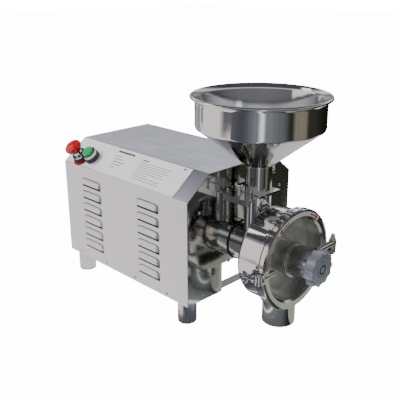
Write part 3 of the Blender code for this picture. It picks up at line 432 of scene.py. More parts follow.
def louvre_lines():
    """Grid lines up one louvre: drop below its middle, push outwards, and a painted-shade flag.

    Going up: the sheet below, the edge of the slit, the slit's inside, the lip's underside,
    the lip, the swell of the hood, and the fold at its top. Flag 1 paints shade on the sheet
    just below the lip, the slit and the lip's underside; flag 2 paints a line of shade along the fold."""
    low = -LOUVRE_RISE / 2
    slit = [(low - 0.0062, 0.0, 1), (low - 0.0012, 0.0, 1), (low - 0.0010, -0.30, 1),
            (low + 0.0030, -0.30, 1),
            (low + 0.0008, 0.75, 1), (low + 0.0001, 0.86, 0), (low, 0.95, 0), (low + 0.0003, 1.0, 0)]
    t = np.linspace(0.0, 1.0, 15)[1:]
    swell = [(low + LOUVRE_RISE * x, np.sqrt(max(0.0, 1 - x ** 1.7)) * (1 - 0.10 * x), 0) for x in t]
    # flag 2: painted shade along the fold
    fold = [(LOUVRE_RISE / 2 - 0.0002, -0.07, 2), (LOUVRE_RISE / 2 + 0.0013, -0.02, 2)]
    return np.array(slit + swell + fold)


def side_lines():
    """All the lines up one side: height at rest, louvre push, louvre row, and painted-shade flag."""
    lines = louvre_lines()
    rows = [np.column_stack([z + lines[:, 0], lines[:, 1], np.full(len(lines), k), lines[:, 2]])
            for k, z in enumerate(LOUVRE_ROWS)]
    foot = np.array([[COVER_BOTTOM, 0, 0, 0], [COVER_BOTTOM + 0.0006, 0, 0, 0], [0.0560, 0, 0, 0]])
    head = np.array([[0.2230, 0, 0, 0], [0.2330, 0, 0, 0]])
    return np.concatenate([foot, *rows, head])


print(len(side_lines()), "lines up each side")


# %% The cover as one grid
def folds():
    """Y, Z and outward direction along the slopes and roof, with rounded bends."""
    corners = np.array([(-HALF, SIDE_TOP), (-ROOF_HALF, ROOF), (ROOF_HALF, ROOF), (HALF, SIDE_TOP)])
    ends = np.array([(-HALF, SIDE_TOP - 0.01), *corners, (HALF, SIDE_TOP - 0.01)])
    points, outward = [], []
    for before, corner, after in zip(ends, ends[1:], ends[2:]):
        a, b = before - corner, after - corner
        a, b = a / np.linalg.norm(a), b / np.linalg.norm(b)
        first, last = np.array([a[1], -a[0]]), np.array([-b[1], b[0]])
        for t in np.linspace(0.0, 1.0, 6):
            points.append((1 - t) ** 2 * (corner + a * BEND) + 2 * t * (1 - t) * corner
                          + t ** 2 * (corner + b * BEND))
            mixed = (1 - t) * first + t * last
            outward.append(mixed / np.linalg.norm(mixed))
    return np.array(points), np.array(outward)


def lines_along():
    """X of the grid lines: close together where a louvre's ends curve, wide elsewhere."""
    t = np.linspace(0.0, 1.0, 11)
    end = LOUVRE_HALF - 0.0095 + 0.0095 * np.sin(t * pi / 2)
    middle = np.linspace(0.0, LOUVRE_HALF - 0.0095, 6)[:-1]
    half = np.concatenate([middle, end, [LOUVRE_HALF + 0.0012]])
    both = np.concatenate([-half[::-1], half[1:]])
    edges = [REAR, REAR + 0.0006, FRONT - 0.0006, FRONT]
    return np.sort(np.concatenate([c + both for c in LOUVRE_CENTRES] + [edges, [FRONT - 0.19]]))


def pressed(x, push, rest, row_middle):
    """Height of a louvre at x: full in the middle, falling to nothing round each end.

    The end factor is the square root of one minus e squared, where e runs from 0 to 1 over
    the last 9.5 mm, and the hood's top line is pulled down by the same amount."""
    reach = np.min([np.abs(x - c) for c in LOUVRE_CENTRES], axis=0)
    e = np.clip((reach - (LOUVRE_HALF - 0.0095)) / 0.0095, 0.0, 1.0)
    rise = np.sqrt(1 - e ** 2)
    rise[reach > LOUVRE_HALF] = 0.0
    out = LOUVRE_OUT * push[None, :] * rise[:, None]
    low = row_middle - LOUVRE_RISE / 2
    drawn = np.where(rest > low, low + (rest - low) * (0.55 + 0.45 * rise[:, None]), rest)
    drawn[:, :3] = rest[:3]
    drawn[:, -2:] = rest[-2:]
    blend = np.minimum(1.0, 4 * rise)[:, None]
    return out, level_lines(rest) * (1 - blend) + drawn * blend


def level_lines(rest):
    """Heights of the same lines where the sheet is flat: evenly spaced in each louvre's band."""
    count = len(louvre_lines())
    level = rest.copy()
    for first in range(3, 3 + count * len(LOUVRE_ROWS), count):
        last = first + count - 1
        level[first:last + 1] = np.linspace(rest[first], rest[last], count)
    return level


def cover_grid():
    """The lines along the cover times the lines round it, outside and inside."""
    x = lines_along()
    side = side_lines()
    middle = LOUVRE_ROWS[side[:, 2].astype(int)]
    out, height = pressed(x, side[:, 1], side[:, 0], middle)
    bends, outward = folds()
    along = np.broadcast_to(x[:, None], height.shape)
    right = np.stack([along, SHAFT_Y + HALF + out, height], axis=-1)
    left = np.stack([along, SHAFT_Y - HALF - out, height], axis=-1)
    top = np.stack([np.broadcast_to(x[:, None], (len(x), len(bends))),
                    np.broadcast_to(SHAFT_Y + bends[:, 0], (len(x), len(bends))),
                    np.broadcast_to(bends[:, 1], (len(x), len(bends)))], axis=-1)
    outer = np.concatenate([left, top, right[:, ::-1]], axis=1)
    plain = np.broadcast_to(level_lines(side[:, 0]), height.shape)
    inner_right = np.stack([along, np.full(height.shape, SHAFT_Y + HALF - SHEET), plain], axis=-1)
    inner_left = np.stack([along, np.full(height.shape, SHAFT_Y - HALF + SHEET), plain], axis=-1)
    inner_top = top.copy()
    inner_top[:, :, 1:] -= SHEET * outward[None]
    inner = np.concatenate([inner_left, inner_top, inner_right[:, ::-1]], axis=1)
    flag = side[:, 3]
    flags = np.concatenate([flag, np.zeros(len(bends)), flag[::-1]])
    return x, outer, inner, flags


def shell(name, outer, inner, material, body, kinds):
    """Two grids of one size, the same way round, joined along their four borders."""
    rows, columns = outer.shape[:2]
    count = rows * columns
    front = grid_faces(rows, columns)
    back = grid_faces(rows, columns, start=count)[:, ::-1]
    ids = np.arange(count).reshape(rows, columns)
    rim = np.concatenate([ids[0, :], ids[1:, -1], ids[-1, -2::-1], ids[-2:0:-1, 0]])
    nxt = np.roll(rim, -1)
    walls = np.stack([rim, rim + count, nxt + count, nxt], axis=1)
    faces = np.concatenate([front, back, walls])
    points = np.concatenate([outer.reshape(-1, 3), inner.reshape(-1, 3)])
    marks = np.concatenate([kinds, np.zeros(len(back) + len(walls), int)])
    return add_piece(name, points, faces, material, body, 28, marks)


x_lines, outer, inner, flags = cover_grid()
middles = (x_lines[1:] + x_lines[:-1]) / 2
in_louvre = np.min([np.abs(middles - centre) for centre in LOUVRE_CENTRES], axis=0) < LOUVRE_HALF
# faces flagged 1 get painted shade under each lip, faces flagged 2 get painted shade along the fold
row_kinds = np.where(flags[1:] == flags[:-1], flags[1:], 0).astype(int)
kinds = np.where(in_louvre[:, None], row_kinds[None, :], 0).ravel()
cover = shell("louvred_cover", outer, inner,
              [FINISH["satin_sheet"], FINISH["louvre_painted_shade"], FINISH["fold_shade"]],
              "machine", kinds)
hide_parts("cabinet_cover")

# %% [markdown]
# ## The hopper
# A deep cone was spun from sheet, with a straight wall above it and a beaded rim. The
# profile runs up the outside, round the bead and down the inside, and is then turned.
# The bead is a true roll, so a bright line runs all the way round it.

# %% Spin the hopper
HOPPER_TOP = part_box("hopper")[1].z
RIM_R, WALL_R, SHOULDER, SOCKET = 0.1220, 0.1134, 0.3546, 0.2853


def hopper_outline():
    """Outside from the spigot up, the rolled rim as an arc, then the inside down again."""
    wall = 0.0013
    roll = np.linspace(-0.75 * pi, 0.80 * pi, 20)
    bead_r = 0.0031
    centre = np.array([RIM_R - bead_r, HOPPER_TOP - bead_r])
    bead = centre + bead_r * np.stack([np.cos(roll), np.sin(roll)], axis=1)
    outside = [(0.0216, 0.2565), (0.0216, SOCKET), (0.0243, SOCKET), (0.0243, SOCKET + 0.0020),
               (0.0290, SOCKET + 0.0052), (WALL_R - 0.0040, SHOULDER - 0.0016),
               (WALL_R - 0.0012, SHOULDER + 0.0002),
               (WALL_R, SHOULDER + 0.0030), (WALL_R, HOPPER_TOP - 0.0110),
               (WALL_R + 0.0012, HOPPER_TOP - 0.0085)]
    inside = [(WALL_R + 0.0012 - wall, HOPPER_TOP - 0.0066), (WALL_R - wall, HOPPER_TOP - 0.0100),
              (WALL_R - wall, SHOULDER + 0.0035), (WALL_R - wall - 0.0010, SHOULDER + 0.0006),
              (WALL_R - 0.0042 - wall, SHOULDER - 0.0008), (0.0290, SOCKET + 0.0068),
              (0.0203, SOCKET + 0.0010),
              (0.0203, 0.2565)]
    return np.array(outside + bead.tolist() + inside)


hopper = spun("spun_hopper", hopper_outline(), ON_THROAT, (0, 0, 1), FINISH["mirror_hopper"],
              "machine", sides=144, sharp=40)
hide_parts("hopper")

# %% [markdown]
# ## Dark rings at the barrel's joints
# A thin black ring sits at each end of the feed barrel, at the front plate and at the
# chamber. Polished steel hides a joint by reflecting it, so a dark line is what shows where
# one piece stops and the next begins. Each ring is painted shade for the shadowed gap at a
# joint, drawn with the rubber finish; that these joints hold rubber is a guess.

# %% Two rings of painted shade
BARREL_R = 0.0370
# black rings of painted shade, standing for the shadowed gap at each end of the barrel
for name, start, end in (("plate_joint_shade", 0.0002, 0.0018), ("chamber_joint_shade", 0.0606, 0.0618)):
    ring = eased([(BARREL_R + 0.0001, start), (BARREL_R + 0.0013, start), (BARREL_R + 0.0013, end),
                  (BARREL_R + 0.0001, end)], 0.0003)
    spun(name, ring, (FRONT, SHAFT_Y, SHAFT_Z), (1, 0, 0), FINISH["black_rubber"], "machine")

# %% [markdown]
# ## Polished bands round the chamber
# The real drum and cover are turned, so their sides are true cylinders, and a mirror shows
# any facet. Each visible band is a thin tube turned from a closed profile with many sides,
# standing three tenths of a millimetre proud of the solid below it.

# %% Turned bands
BAND_T = 0.0003
DRUM_R, COVER_R, BOSS_R, POCKET_R, POCKET_FLOOR = 0.0840, 0.0920, 0.0300, 0.0755, 0.0970
for name, body, radius, start, end in (("drum_band", "machine", DRUM_R, 0.0702, 0.1108),
                                       ("flange_band", "machine", COVER_R, 0.1128, 0.1179),
                                       ("cover_band", "cover", COVER_R, 0.1206, 0.1278),
                                       ("boss_band", "cover", BOSS_R, 0.0976, 0.1214)):
    inner, outer = radius - 0.0002, radius + BAND_T
    ring = [(inner, start), (outer, start), (outer, end), (inner, end)]
    spun(name, ring, (FRONT, SHAFT_Y, SHAFT_Z), (1, 0, 0), FINISH["mirror_band"], body)
low, high = POCKET_FLOOR - 0.0001, POCKET_FLOOR + 0.0003
near, far = BOSS_R + 0.0004, POCKET_R - 0.0003
floor_ring = [(near, low), (far, low), (far, high), (near, high)]
spun("pocket_floor", floor_ring, (FRONT, SHAFT_Y, SHAFT_Z), (1, 0, 0), FINISH["pocket_polish"], "cover")

# %% [markdown]
# ## The fluted knob
# The knob was milled with eleven flutes. Its outline is a circle with a slow wave, which is
# sharpened so that the ribs are narrower than the hollows, and its front edge is rounded by
# shrinking the last few outlines.

# %% Mill the knob
KNOB_LOW, KNOB_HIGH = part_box("adjusting_knob")
LOBES = 11


def knob_points(sides=264):
    """Radius 31 mm plus a wave of the lobes, times a shrink that rounds the front edge."""
    turn = np.linspace(0.0, 2 * pi, sides, endpoint=False)
    wave = np.abs(np.sin(LOBES * turn / 2)) ** 0.7
    length = KNOB_HIGH.x - KNOB_LOW.x
    rings = [(0.0, 0.4), (0.0, 0.955), (0.0010, 1.0), (length - 0.0035, 1.0), (length - 0.0016, 0.985),
             (length - 0.0005, 0.955), (length - 0.0001, 0.915), (length, 0.86), (length, 0.42),
             (length - 0.0012, 0.40), (length - 0.0016, 0.38)]
    x = np.array([KNOB_LOW.x + r[0] for r in rings])
    shrink = np.array([r[1] for r in rings])[:, None]
    flute = np.clip((shrink - 0.42) / 0.5, 0.0, 1.0) * 0.0042
    radius = 0.0330 * shrink - flute * wave[None, :]
    return np.stack([np.broadcast_to(x[:, None], radius.shape), SHAFT_Y + radius * np.cos(turn),
                     SHAFT_Z + radius * np.sin(turn)], axis=-1)


points = knob_points()
knob = add_piece("fluted_knob", points, grid_faces(points.shape[0], points.shape[1], wrap_rows=True,
                                                   wrap_columns=True),
                 FINISH["knob_alloy"], "adjuster", sharp=34)
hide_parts("adjusting_knob")
print("knob is", round(KNOB_HIGH.x - KNOB_LOW.x, 4), "long")

# %% The key way in the knob's face, as a flat ring of painted shade
def gear_outline(turn, radius, teeth, depth):
    """A circle whose radius steps in and out with the sign of a sine, softened by tanh."""
    return radius + depth * np.tanh(4 * np.sin(teeth * turn)) / 2


def key_way(sides=160):
    turn = np.linspace(0.0, 2 * pi, sides, endpoint=False)
    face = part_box("knob_cap")[1].x + 0.0001
    outer_r, inner_r = gear_outline(turn, 0.0088, 8, 0.0018), gear_outline(turn, 0.0062, 8, 0.0010)
    rings = [(outer_r, face - 0.0004), (outer_r, face), (inner_r, face), (inner_r, face - 0.0004)]
    return np.stack([np.stack([np.full(sides, x), SHAFT_Y + r * np.cos(turn), SHAFT_Z + r * np.sin(turn)],
                              axis=-1) for r, x in rings])


# a flat near-black ring on the face: painted shade where the key way is recessed
points = key_way()
add_piece("knob_key_way", points, grid_faces(4, points.shape[1], wrap_rows=True, wrap_columns=True),
          FINISH["knob_painted_shade"], "adjuster")

# %% [markdown]
# ## Button rings
# Each button is held by a ring with fine grip ribs. The ribs are a circle whose radius
# steps in and out, carried up the ring's height.

# %% Ribbed rings
SLOPE = np.array([0.0, HALF - ROOF_HALF, ROOF - SIDE_TOP])
SLOPE = SLOPE / np.linalg.norm(SLOPE)
SLOPE_OUT = np.array([0.0, -SLOPE[2], SLOPE[1]])
SLOPE_MIDDLE = np.array([0.0, -(HALF + ROOF_HALF) / 2, (SIDE_TOP + ROOF) / 2])


def on_slope(ahead, up, lift=0.0):
    """A point of the sloping panel: ahead of the plate, up the slope, and off its surface."""
    return at(ahead, 0.0, 0.0) + SLOPE_MIDDLE + SLOPE * up + SLOPE_OUT * lift


def ribbed_ring(name, place, low, high, inner_r, outer_r, ribs, material, body, sides=288):
    """A ring whose outer radius steps in and out with the angle, the same at every height."""
    turn = np.linspace(0.0, 2 * pi, sides, endpoint=False)
    ribbed = gear_outline(turn, outer_r, ribs, 0.0006)
    levels = [(inner_r + 0 * turn, low), (ribbed - 0.0005, low), (ribbed, low + 0.0008),
              (ribbed, high - 0.0008),
              (ribbed - 0.0005, high), (inner_r + 0 * turn, high)]
    local = np.stack([np.stack([r * np.cos(turn), r * np.sin(turn), np.full(sides, z)], axis=-1)
                      for r, z in levels])
    points = place + local @ frame_of(SLOPE_OUT)
    faces = grid_faces(len(levels), sides, wrap_rows=True, wrap_columns=True)
    return add_piece(name, points, faces, material, body)


STOP_PLACE, START_PLACE = (-0.3205, -0.0150), (-0.2855, -0.0100)
GRIP_INNER_R, GRIP_OUTER_R, GRIP_RIBS = 0.0144, 0.0154, 36
for name, place, low, high in (("stop_grip_ring", STOP_PLACE, 0.0040, 0.0110),
                               ("start_grip_ring", START_PLACE, 0.0050, 0.0150)):
    ribbed_ring(name, on_slope(*place), low, high, GRIP_INNER_R, GRIP_OUTER_R, GRIP_RIBS,
                FINISH["black_plastic"], "machine")

# %% [markdown]
# ## Wing screws
# A wing is a flat ear: an ellipse that leans out from the hub and gets thinner to its edge.
# It is a squashed ball, and two of them and a hub make a nut.

# %% Wings and hubs
def ear(centre, out, up, width, height, thick, rings=14, sides=20):
    """A ball squashed to width, height and thickness, on axes out, up and across."""
    out, up = np.asarray(out, float), np.asarray(up, float)
    out, up = out / np.linalg.norm(out), up / np.linalg.norm(up)
    across = np.cross(out, up)
    polar = np.linspace(0.0, pi, rings)[:, None]
    turn = np.linspace(0.0, 2 * pi, sides, endpoint=False)[None, :]
    u, v, w = np.sin(polar) * np.cos(turn), np.cos(polar) + 0 * turn, np.sin(polar) * np.sin(turn)
    flat = np.sign(w) * np.abs(w) ** 0.6
    return (np.asarray(centre) + (u * width)[..., None] * out + (v * height)[..., None] * up
            + (flat * thick)[..., None] * across)


def wing_piece(name, centre, axis, wing_out, reach, size, hub, material_name, body, node):
    """A hub turned about axis, with two ears that lean out and along the axis."""
    axis = np.asarray(axis, float) / np.linalg.norm(axis)
    wing_out = np.asarray(wing_out, float) / np.linalg.norm(wing_out)
    profile = eased(hub, 0.0008)
    points = [spin(profile, centre, axis, 32)]
    faces = [grid_faces(len(profile), 32, wrap_rows=True, wrap_columns=True)]
    count = points[0].shape[0] * 32
    for way in (1.0, -1.0):
        lean = axis * 0.80 + wing_out * way * 0.60
        middle = np.asarray(centre) + wing_out * way * reach[0] + axis * reach[1]
        ball = ear(middle, np.cross(lean, np.cross(axis, wing_out)), lean, *size)
        points.append(ball)
        faces.append(grid_faces(ball.shape[0], ball.shape[1], wrap_columns=True, start=count))
        count += ball.shape[0] * ball.shape[1]
    piece = add_piece(name, np.concatenate([p.reshape(-1, 3) for p in points]), np.concatenate(faces),
                      FINISH[material_name], body)
    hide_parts(node)
    return piece


low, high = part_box("gate_thumbscrew")
centre = np.array([(low.x + high.x) / 2, (low.y + high.y) / 2, low.z])
wing_piece("gate_wing_screw", centre, (0, 0, 1), (1, 0, 0), (0.0052, 0.0182), (0.0032, 0.0062, 0.0011),
           [(0.0, 0.0), (0.0022, 0.0), (0.0022, 0.0130), (0.0046, 0.0130), (0.0040, 0.0200), (0.0, 0.0205)],
           "bright_screw", "thumbscrew", "gate_thumbscrew")

low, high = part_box("hopper_wing_screw")
centre = np.array([(low.x + high.x) / 2, low.y, (low.z + high.z) / 2])
wing_piece("hopper_wing", centre, (0, 1, 0), (0, 0, 1), (0.0062, 0.0192), (0.0034, 0.0062, 0.0011),
           [(0.0, 0.0), (0.0025, 0.0), (0.0025, 0.0110), (0.0048, 0.0110), (0.0042, 0.0200), (0.0, 0.0205)],
           "bright_screw", "hopper_screw", "hopper_wing_screw")

# %% The latch's wing nut
LEAN = radians(22)
PIVOT = at(0.1270, -0.0990, 0.1290)
ALONG = np.array([-cos(LEAN), -sin(LEAN), 0.0])
wing_piece("clamp_wing_nut", PIVOT + ALONG * 0.0176, ALONG, (0, 0, 1), (0.0078, 0.0062),
           (0.0034, 0.0062, 0.0014),
           [(0.0030, 0.0), (0.0062, 0.0), (0.0052, 0.0086), (0.0030, 0.0086)],
           "bright_screw", "wing_nut", "latch_wing_nut")

# %% [markdown]
# ## Small screws
# The cover is held by four screws along each side, the front plate by a few, and the
# outlet by four. Each is a low dome with a driver's recess, turned once and copied.

# %% Screw heads
def screw_heads(name, places, direction, radius, material, body):
    """A domed head with a round recess on every place, as one piece."""
    high = radius * 0.50
    outline = [(0.0, -0.0006), (radius, -0.0006), (radius, high * 0.25), (radius * 0.86, high * 0.72),
               (radius * 0.55, high), (radius * 0.40, high), (radius * 0.36, high * 0.35), (0.0, high * 0.30)]
    shape = spin(outline, (0, 0, 0), direction, 24)
    faces = grid_faces(len(outline), 24, wrap_rows=True, wrap_columns=True)
    points, all_faces = many(shape.reshape(-1, 3), faces, places)
    return add_piece(name, points, all_faces, material, body, sharp=38)


SIDE_SCREWS = [-0.325, -0.238, -0.147, -0.056]
for side, word in ((-1, "left"), (1, "right")):
    places = [at(x, side * HALF, 0.0490) for x in SIDE_SCREWS]
    screw_heads(f"side_screws_{word}", places, (0, side, 0), 0.0030, FINISH["bright_screw"], "machine")
places = [at(0.0, y, z) for y, z in ((-0.102, 0.053), (0.102, 0.053), (-0.110, 0.215), (0.110, 0.215))]
screw_heads("plate_screws", places, (1, 0, 0), 0.0030, FINISH["bright_screw"], "machine")
ring = np.radians([45, 135, 225, 315])
places = [at(0.0, 0.0470 * cos(a), SHAFT_Z + 0.0470 * sin(a)) for a in ring]
screw_heads("barrel_screws", places, (1, 0, 0), 0.0036, FINISH["bright_screw"], "machine")
places = [at(-0.3643, y, z) for y, z in ((-0.120, 0.060), (0.120, 0.060), (-0.070, 0.262), (0.070, 0.262))]
screw_heads("rear_screws", places, (-1, 0, 0), 0.0030, FINISH["bright_screw"], "machine")
for number, a in enumerate(np.radians([20, 110, 200, 290])):
    out = np.array([cos(a), sin(a), 0.0])
    place = np.array(ON_OUTLET) + out * 0.0304 + [0, 0, 0.0200]
    screw_heads(f"outlet_screw_{number + 1}", [place], out, 0.0024,
                FINISH["bright_screw"], "machine")

# %% [markdown]
# ## Printing
# The sloping label carries plain bars where a maker prints its data, with nothing to read.
# The cover's rim has a curved white strip with a red arrow at each end, which shows that
# the knob turns both ways.

# %% Bars on the label
def bars(name, spans, thick, material):
    """Flat bars on the slope: each has a start and an end ahead, and a height up the slope."""
    corners, faces = [], []
    for start, end, up in spans:
        base = len(corners)
        for lift in (0.0008, 0.00098):
            corners += [on_slope(start, up - thick / 2, lift), on_slope(end, up - thick / 2, lift),
                        on_slope(end, up + thick / 2, lift), on_slope(start, up + thick / 2, lift)]
        faces += [[base + k for k in quad] for quad in
                  ((0, 3, 2, 1), (4, 5, 6, 7), (0, 1, 5, 4), (1, 2, 6, 5), (2, 3, 7, 6), (3, 0, 4, 7))]
    return add_piece(name, corners, faces, material, "machine")


bars("label_title_bar", [(-0.2380, -0.1880, 0.0240)], 0.0042, FINISH["print_ink"])
bars("label_data_bars", [(-0.2380, -0.2200, 0.0130), (-0.2360, -0.2120, 0.0065), (-0.2340, -0.2000, 0.0000),
                         (-0.2320, -0.2080, -0.0065), (-0.2300, -0.2180, -0.0130)], 0.0015,
     FINISH["print_ink"])
bars("label_block_heading", [(-0.1620, -0.1440, 0.0205)], 0.0026, FINISH["print_ink"])
ROW_ENDS = (0.0780, 0.0840, 0.0800, 0.0900, 0.0820, 0.1240, 0.0860, 0.0840)
rows = [(-0.1640 + 0.0006 * k, -end, 0.0150 - 0.0052 * k) for k, end in enumerate(ROW_ENDS)]
bars("label_block_rows", rows, 0.0011, FINISH["print_ink"])
bars("label_corner_mark", [(-0.0560, -0.0500, 0.0270)], 0.0030, FINISH["print_ink"])

# %% The strip on the cover's rim


def rim_strip(low_r, high_r, start, end, face, thick, steps=60):
    """A curved strip between two radii and two angles, counted from straight up."""
    turn = np.linspace(radians(start), radians(end), steps)
    rings = [(low_r, 0.0), (high_r, 0.0), (high_r, thick), (low_r, thick)]
    points = np.stack([np.stack([np.full(steps, face + lift), SHAFT_Y + r * np.sin(turn),
                                 SHAFT_Z + r * np.cos(turn)], axis=-1) for r, lift in rings])
    return points


COVER_FACE = FRONT + 0.1310
points = rim_strip(0.0800, 0.0882, -42, 42, COVER_FACE - 0.0001, 0.00035)
faces = grid_faces(4, points.shape[1], wrap_rows=True)
caps = np.array([[0, 60, 120, 180], [59, 239, 179, 119]])
add_piece("rim_label", points, np.concatenate([faces, caps]), FINISH["rim_film"], "cover")


def arrow(name, tip, tail, face):
    """A flat arrow along the rim's middle line: a narrow shaft, then a wide head at the tip."""
    way = np.sign(tip - tail)
    shape = [(tail, -0.0011), (tip - way * 7, -0.0011), (tip - way * 7, -0.0036), (tip, 0.0),
             (tip - way * 7, 0.0036), (tip - way * 7, 0.0011), (tail, 0.0011)]
    a = np.radians([s[0] for s in shape])
    r = 0.0841 + np.array([s[1] for s in shape])
    across, up = SHAFT_Y + r * np.sin(a), SHAFT_Z + r * np.cos(a)
    rings = [np.stack([np.full(len(a), face + lift), across, up], axis=-1)
             for lift in (0.0, 0.0003)]
    sides = grid_faces(2, len(a), wrap_columns=True).tolist()
    ends = [list(range(len(a))), list(range(len(a), 2 * len(a)))]
    return add_piece(name, np.concatenate(rings), sides + ends, FINISH["red_ink"], "cover")


arrow("rim_arrow_left", -41.0, -20.0, COVER_FACE + 0.0002)
arrow("rim_arrow_right", 40.0, 22.0, COVER_FACE + 0.0002)

# %% [markdown]
# ## The studio
# A pale floor and big soft lights. Polished steel shows its surroundings more than itself,
# so a studio stands dark and pale cards round the subject, outside the picture. Here they
# are seen only in reflections: they cast no shadow and the camera doesn't see them. The
# visible floor glows by itself and is kept out of reflections, so the ground shows white.

# %% Floor and cards
def flat_card(name, corners, material):
    """One flat face of the stage."""
    mesh = bpy.data.meshes.new(name)
    mesh.from_pydata([tuple(map(float, c)) for c in corners], [], [tuple(range(len(corners)))])
    mesh.materials.append(material)
    card = bpy.data.objects.new(name, mesh)
    bpy.context.scene.collection.objects.link(card)
    return card


def reflected_only(card):
    """Let only reflections see a card."""
    card.visible_camera = False
    card.visible_diffuse = False
    card.visible_shadow = False
    card.visible_transmission = False
    return card


def glowing(name, colour, strength=1.0):
    """An even glow."""
    material, tree, shader = start_material(name, 0.0, 1.0, (0.0, 0.0, 0.0))
    shader.inputs["Specular IOR Level"].default_value = 0.0
    shader.inputs["Emission Color"].default_value = (*colour, 1.0)
    shader.inputs["Emission Strength"].default_value = strength
    return material


floor_paint, tree, shader = start_material("floor_paint", 0.0, 0.9, (0.9, 0.9, 0.9))
floor_noise = add_node(tree, "ShaderNodeTexNoise", Scale=3.0)
pale = tinted(tree, floor_noise.outputs["Fac"], (0.88, 0.88, 0.88), 0.01)
tree.links.new(pale, shader.inputs["Base Color"])
shader.inputs["Emission Color"].default_value = (1.0, 1.0, 1.0, 1.0)
shader.inputs["Emission Strength"].default_value = 14.0
floor = flat_card("studio_floor", [(-9, -9, 0), (9, -9, 0), (9, 9, 0), (-9, 9, 0)], floor_paint)
floor.visible_glossy = False
floor.visible_diffuse = False


def bearing_paint(name, stops, streaks=0.15):
    """Glow whose colour depends on the bearing from the machine, blended between stops."""
    material, tree, shader = start_material(name, 0.0, 1.0, (0.0, 0.0, 0.0))
    shader.inputs["Specular IOR Level"].default_value = 0.0
    parts = add_node(tree, "ShaderNodeSeparateXYZ")
    tree.links.new(add_node(tree, "ShaderNodeTexCoord").outputs["Object"], parts.inputs[0])
    bearing = maths(tree, "ARCTAN2", parts.outputs["Y"], maths(tree, "SUBTRACT", parts.outputs["X"], 0.10))
    turn = spread(tree, bearing, 0.0, 1.0, -pi, pi)
    wobble = add_node(tree, "ShaderNodeTexNoise", Scale=9.0, Detail=3.0)
    joined = add_node(tree, "ShaderNodeCombineXYZ")
    tree.links.new(maths(tree, "MULTIPLY", turn, 6.0), joined.inputs[0])
    tree.links.new(joined.outputs[0], wobble.inputs["Vector"])
    ramp = add_node(tree, "ShaderNodeValToRGB")
    ramp.color_ramp.interpolation = "EASE"
    while len(ramp.color_ramp.elements) < len(stops):
        ramp.color_ramp.elements.new(0.5)
    for element, (degrees, colour) in zip(ramp.color_ramp.elements, stops):
        element.position = (degrees + 180) / 360
        element.color = (*colour, 1.0)
    tree.links.new(turn, ramp.inputs[0])
    shade = spread(tree, wobble.outputs["Fac"], 1 - streaks, 1 + streaks)
    scaled = add_node(tree, "ShaderNodeVectorMath", operation="SCALE")
    tree.links.new(ramp.outputs[0], scaled.inputs[0])
    tree.links.new(shade, scaled.inputs["Scale"])
    tree.links.new(scaled.outputs[0], shader.inputs["Emission Color"])
    shader.inputs["Emission Strength"].default_value = 1.0
    return material


BEARINGS = [(-180, (1.20, 1.12, 1.12)), (-126, (1.25, 1.17, 1.17)), (-110, (0.16, 0.16, 0.18)),
            (-78, (0.09, 0.10, 0.12)), (-52, (0.24, 0.26, 0.29)), (-44, (1.40, 1.45, 1.50)),
            (-38, (0.26, 0.28, 0.29)), (-14, (0.18, 0.19, 0.20)), (4, (0.030, 0.030, 0.028)),
            (13, (0.30, 0.27, 0.21)), (30, (0.28, 0.25, 0.20)), (38, (0.045, 0.045, 0.032)),
            (90, (0.012, 0.012, 0.009)), (148, (0.010, 0.010, 0.012)), (165, (0.70, 0.66, 0.68)),
            (180, (1.20, 1.12, 1.12))]
corners = [(-7, -7, 0.0005), (7, -7, 0.0005), (7, 7, 0.0005), (-7, 7, 0.0005)]
reflected_only(flat_card("reflected_floor", corners, bearing_paint("reflected_floor_glow", BEARINGS)))


def sector(name, start, end, near, far, colour, height=0.0008):
    """A reflected-only piece of floor between two bearings and two distances."""
    turn = np.radians(np.linspace(start, end, 12))
    inner_arc = [(0.10 + near * cos(a), near * sin(a), height) for a in turn]
    outer_arc = [(0.10 + far * cos(a), far * sin(a), height) for a in turn[::-1]]
    reflected_only(flat_card(name, inner_arc + outer_arc, glowing(name + "_glow", colour)))


reflected_only(flat_card("pale_wall", [(-1.65, -0.55, 0.0), (-0.45, -1.60, 0.0), (-0.45, -1.60, 1.0),
                                       (-1.65, -0.55, 1.0)], glowing("pale_wall_glow", (1.30, 1.17, 1.20))))
reflected_only(flat_card("window", [(-1.50, -0.70, 1.15), (-1.00, -1.05, 1.15), (-0.85, -0.85, 1.55),
                                    (-1.35, -0.50, 1.55)], glowing("window_glow", (2.2, 2.3, 2.7))))
sector("floor_left_near", -174, -98, 0.16, 0.62, (1.25, 1.15, 1.16))
sector("floor_side_near", 63, 172, 0.16, 0.80, (0.78, 0.78, 0.80))
sector("floor_right_near", 5, 85, 0.0, 0.36, (0.50, 0.54, 0.48))
sector("floor_right_middle", 5, 85, 0.36, 0.50, (0.14, 0.15, 0.13))
print("cards stand round the machine")

# %% World and lights
world = bpy.data.worlds.new("studio")
bpy.context.scene.world = world
world.use_nodes = True
tree = world.node_tree
tree.nodes.clear()
output = tree.nodes.new("ShaderNodeOutputWorld")
mix = tree.nodes.new("ShaderNodeMixShader")
seen = add_node(tree, "ShaderNodeBackground", Color=(1.0, 1.0, 1.0, 1.0), Strength=24.0)
lit = add_node(tree, "ShaderNodeBackground", Strength=0.85)
way = add_node(tree, "ShaderNodeTexCoord").outputs["Generated"]
parts = add_node(tree, "ShaderNodeSeparateXYZ")
tree.links.new(way, parts.inputs[0])
ramp = add_node(tree, "ShaderNodeValToRGB")
for _ in range(4):
    ramp.color_ramp.elements.new(0.5)
for element, (position, colour) in zip(ramp.color_ramp.elements, (
        (0.00, (0.55, 0.55, 0.55)), (0.50, (0.030, 0.030, 0.030)), (0.60, (0.50, 0.50, 0.54)),
        (0.68, (1.85, 1.88, 2.10)), (0.78, (0.12, 0.13, 0.14)), (1.00, (0.22, 0.23, 0.25)))):
    element.position = position
    element.color = (*colour, 1.0)
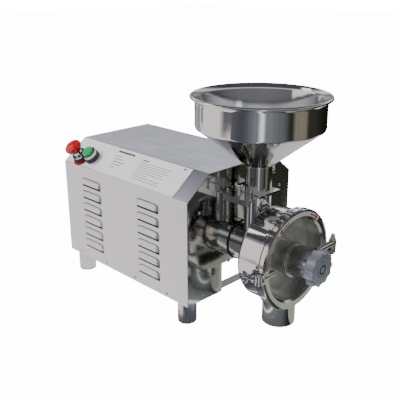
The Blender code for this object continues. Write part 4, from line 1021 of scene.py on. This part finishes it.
tree.links.new(spread(tree, parts.outputs["Z"], 0.0, 1.0, -1.0, 1.0), ramp.inputs[0])
behind = spread(tree, maths(tree, "SUBTRACT", parts.outputs["Y"], parts.outputs["X"]), 0.60, 1.0, 0.80, 1.20)
shaded = add_node(tree, "ShaderNodeVectorMath", operation="SCALE")
tree.links.new(ramp.outputs[0], shaded.inputs[0])
tree.links.new(behind, shaded.inputs["Scale"])
tree.links.new(shaded.outputs[0], lit.inputs["Color"])
tree.links.new(tree.nodes.new("ShaderNodeLightPath").outputs["Is Camera Ray"], mix.inputs[0])
tree.links.new(lit.outputs[0], mix.inputs[1])
tree.links.new(seen.outputs[0], mix.inputs[2])
tree.links.new(mix.outputs[0], output.inputs["Surface"])


def softbox(name, place, aim, width, height, power, colour=(1.0, 1.0, 1.0)):
    """A rectangular light facing its aim, which polished steel does not mirror."""
    light = bpy.data.lights.new(name, "AREA")
    light.shape = "RECTANGLE"
    light.size, light.size_y, light.energy, light.color = width, height, power, colour
    box = bpy.data.objects.new(name, light)
    bpy.context.scene.collection.objects.link(box)
    box.location = place
    box.rotation_euler = (Vector(aim) - Vector(place)).to_track_quat("-Z", "Y").to_euler()
    box.visible_glossy = False
    return box


softbox("key_softbox", (-0.6, -2.2, 1.9), (-0.05, 0.0, 0.2), 1.6, 1.2, 62)
softbox("top_softbox", (-0.5, 0.5, 2.4), (0.0, 0.0, 0.2), 1.8, 1.2, 22)
softbox("fill_softbox", (2.0, -1.6, 1.3), (0.15, 0.0, 0.2), 0.7, 1.3, 16)

# %% [markdown]
# The camera stands in front of the left corner, a little above the machine, and far
# enough away that the parallel edges of the cover stay nearly parallel.

# %% Camera
camera = bpy.data.objects.new("camera", bpy.data.cameras.new("camera"))
bpy.context.scene.collection.objects.link(camera)
bpy.context.scene.camera = camera
camera.location = at(0.7073, -0.8141, 0.6022)
camera.rotation_euler = Vector((-0.6657, 0.6637, -0.342)).to_track_quat("-Z", "Y").to_euler()
camera.data.lens = 55.94
camera.data.sensor_width = 36.0
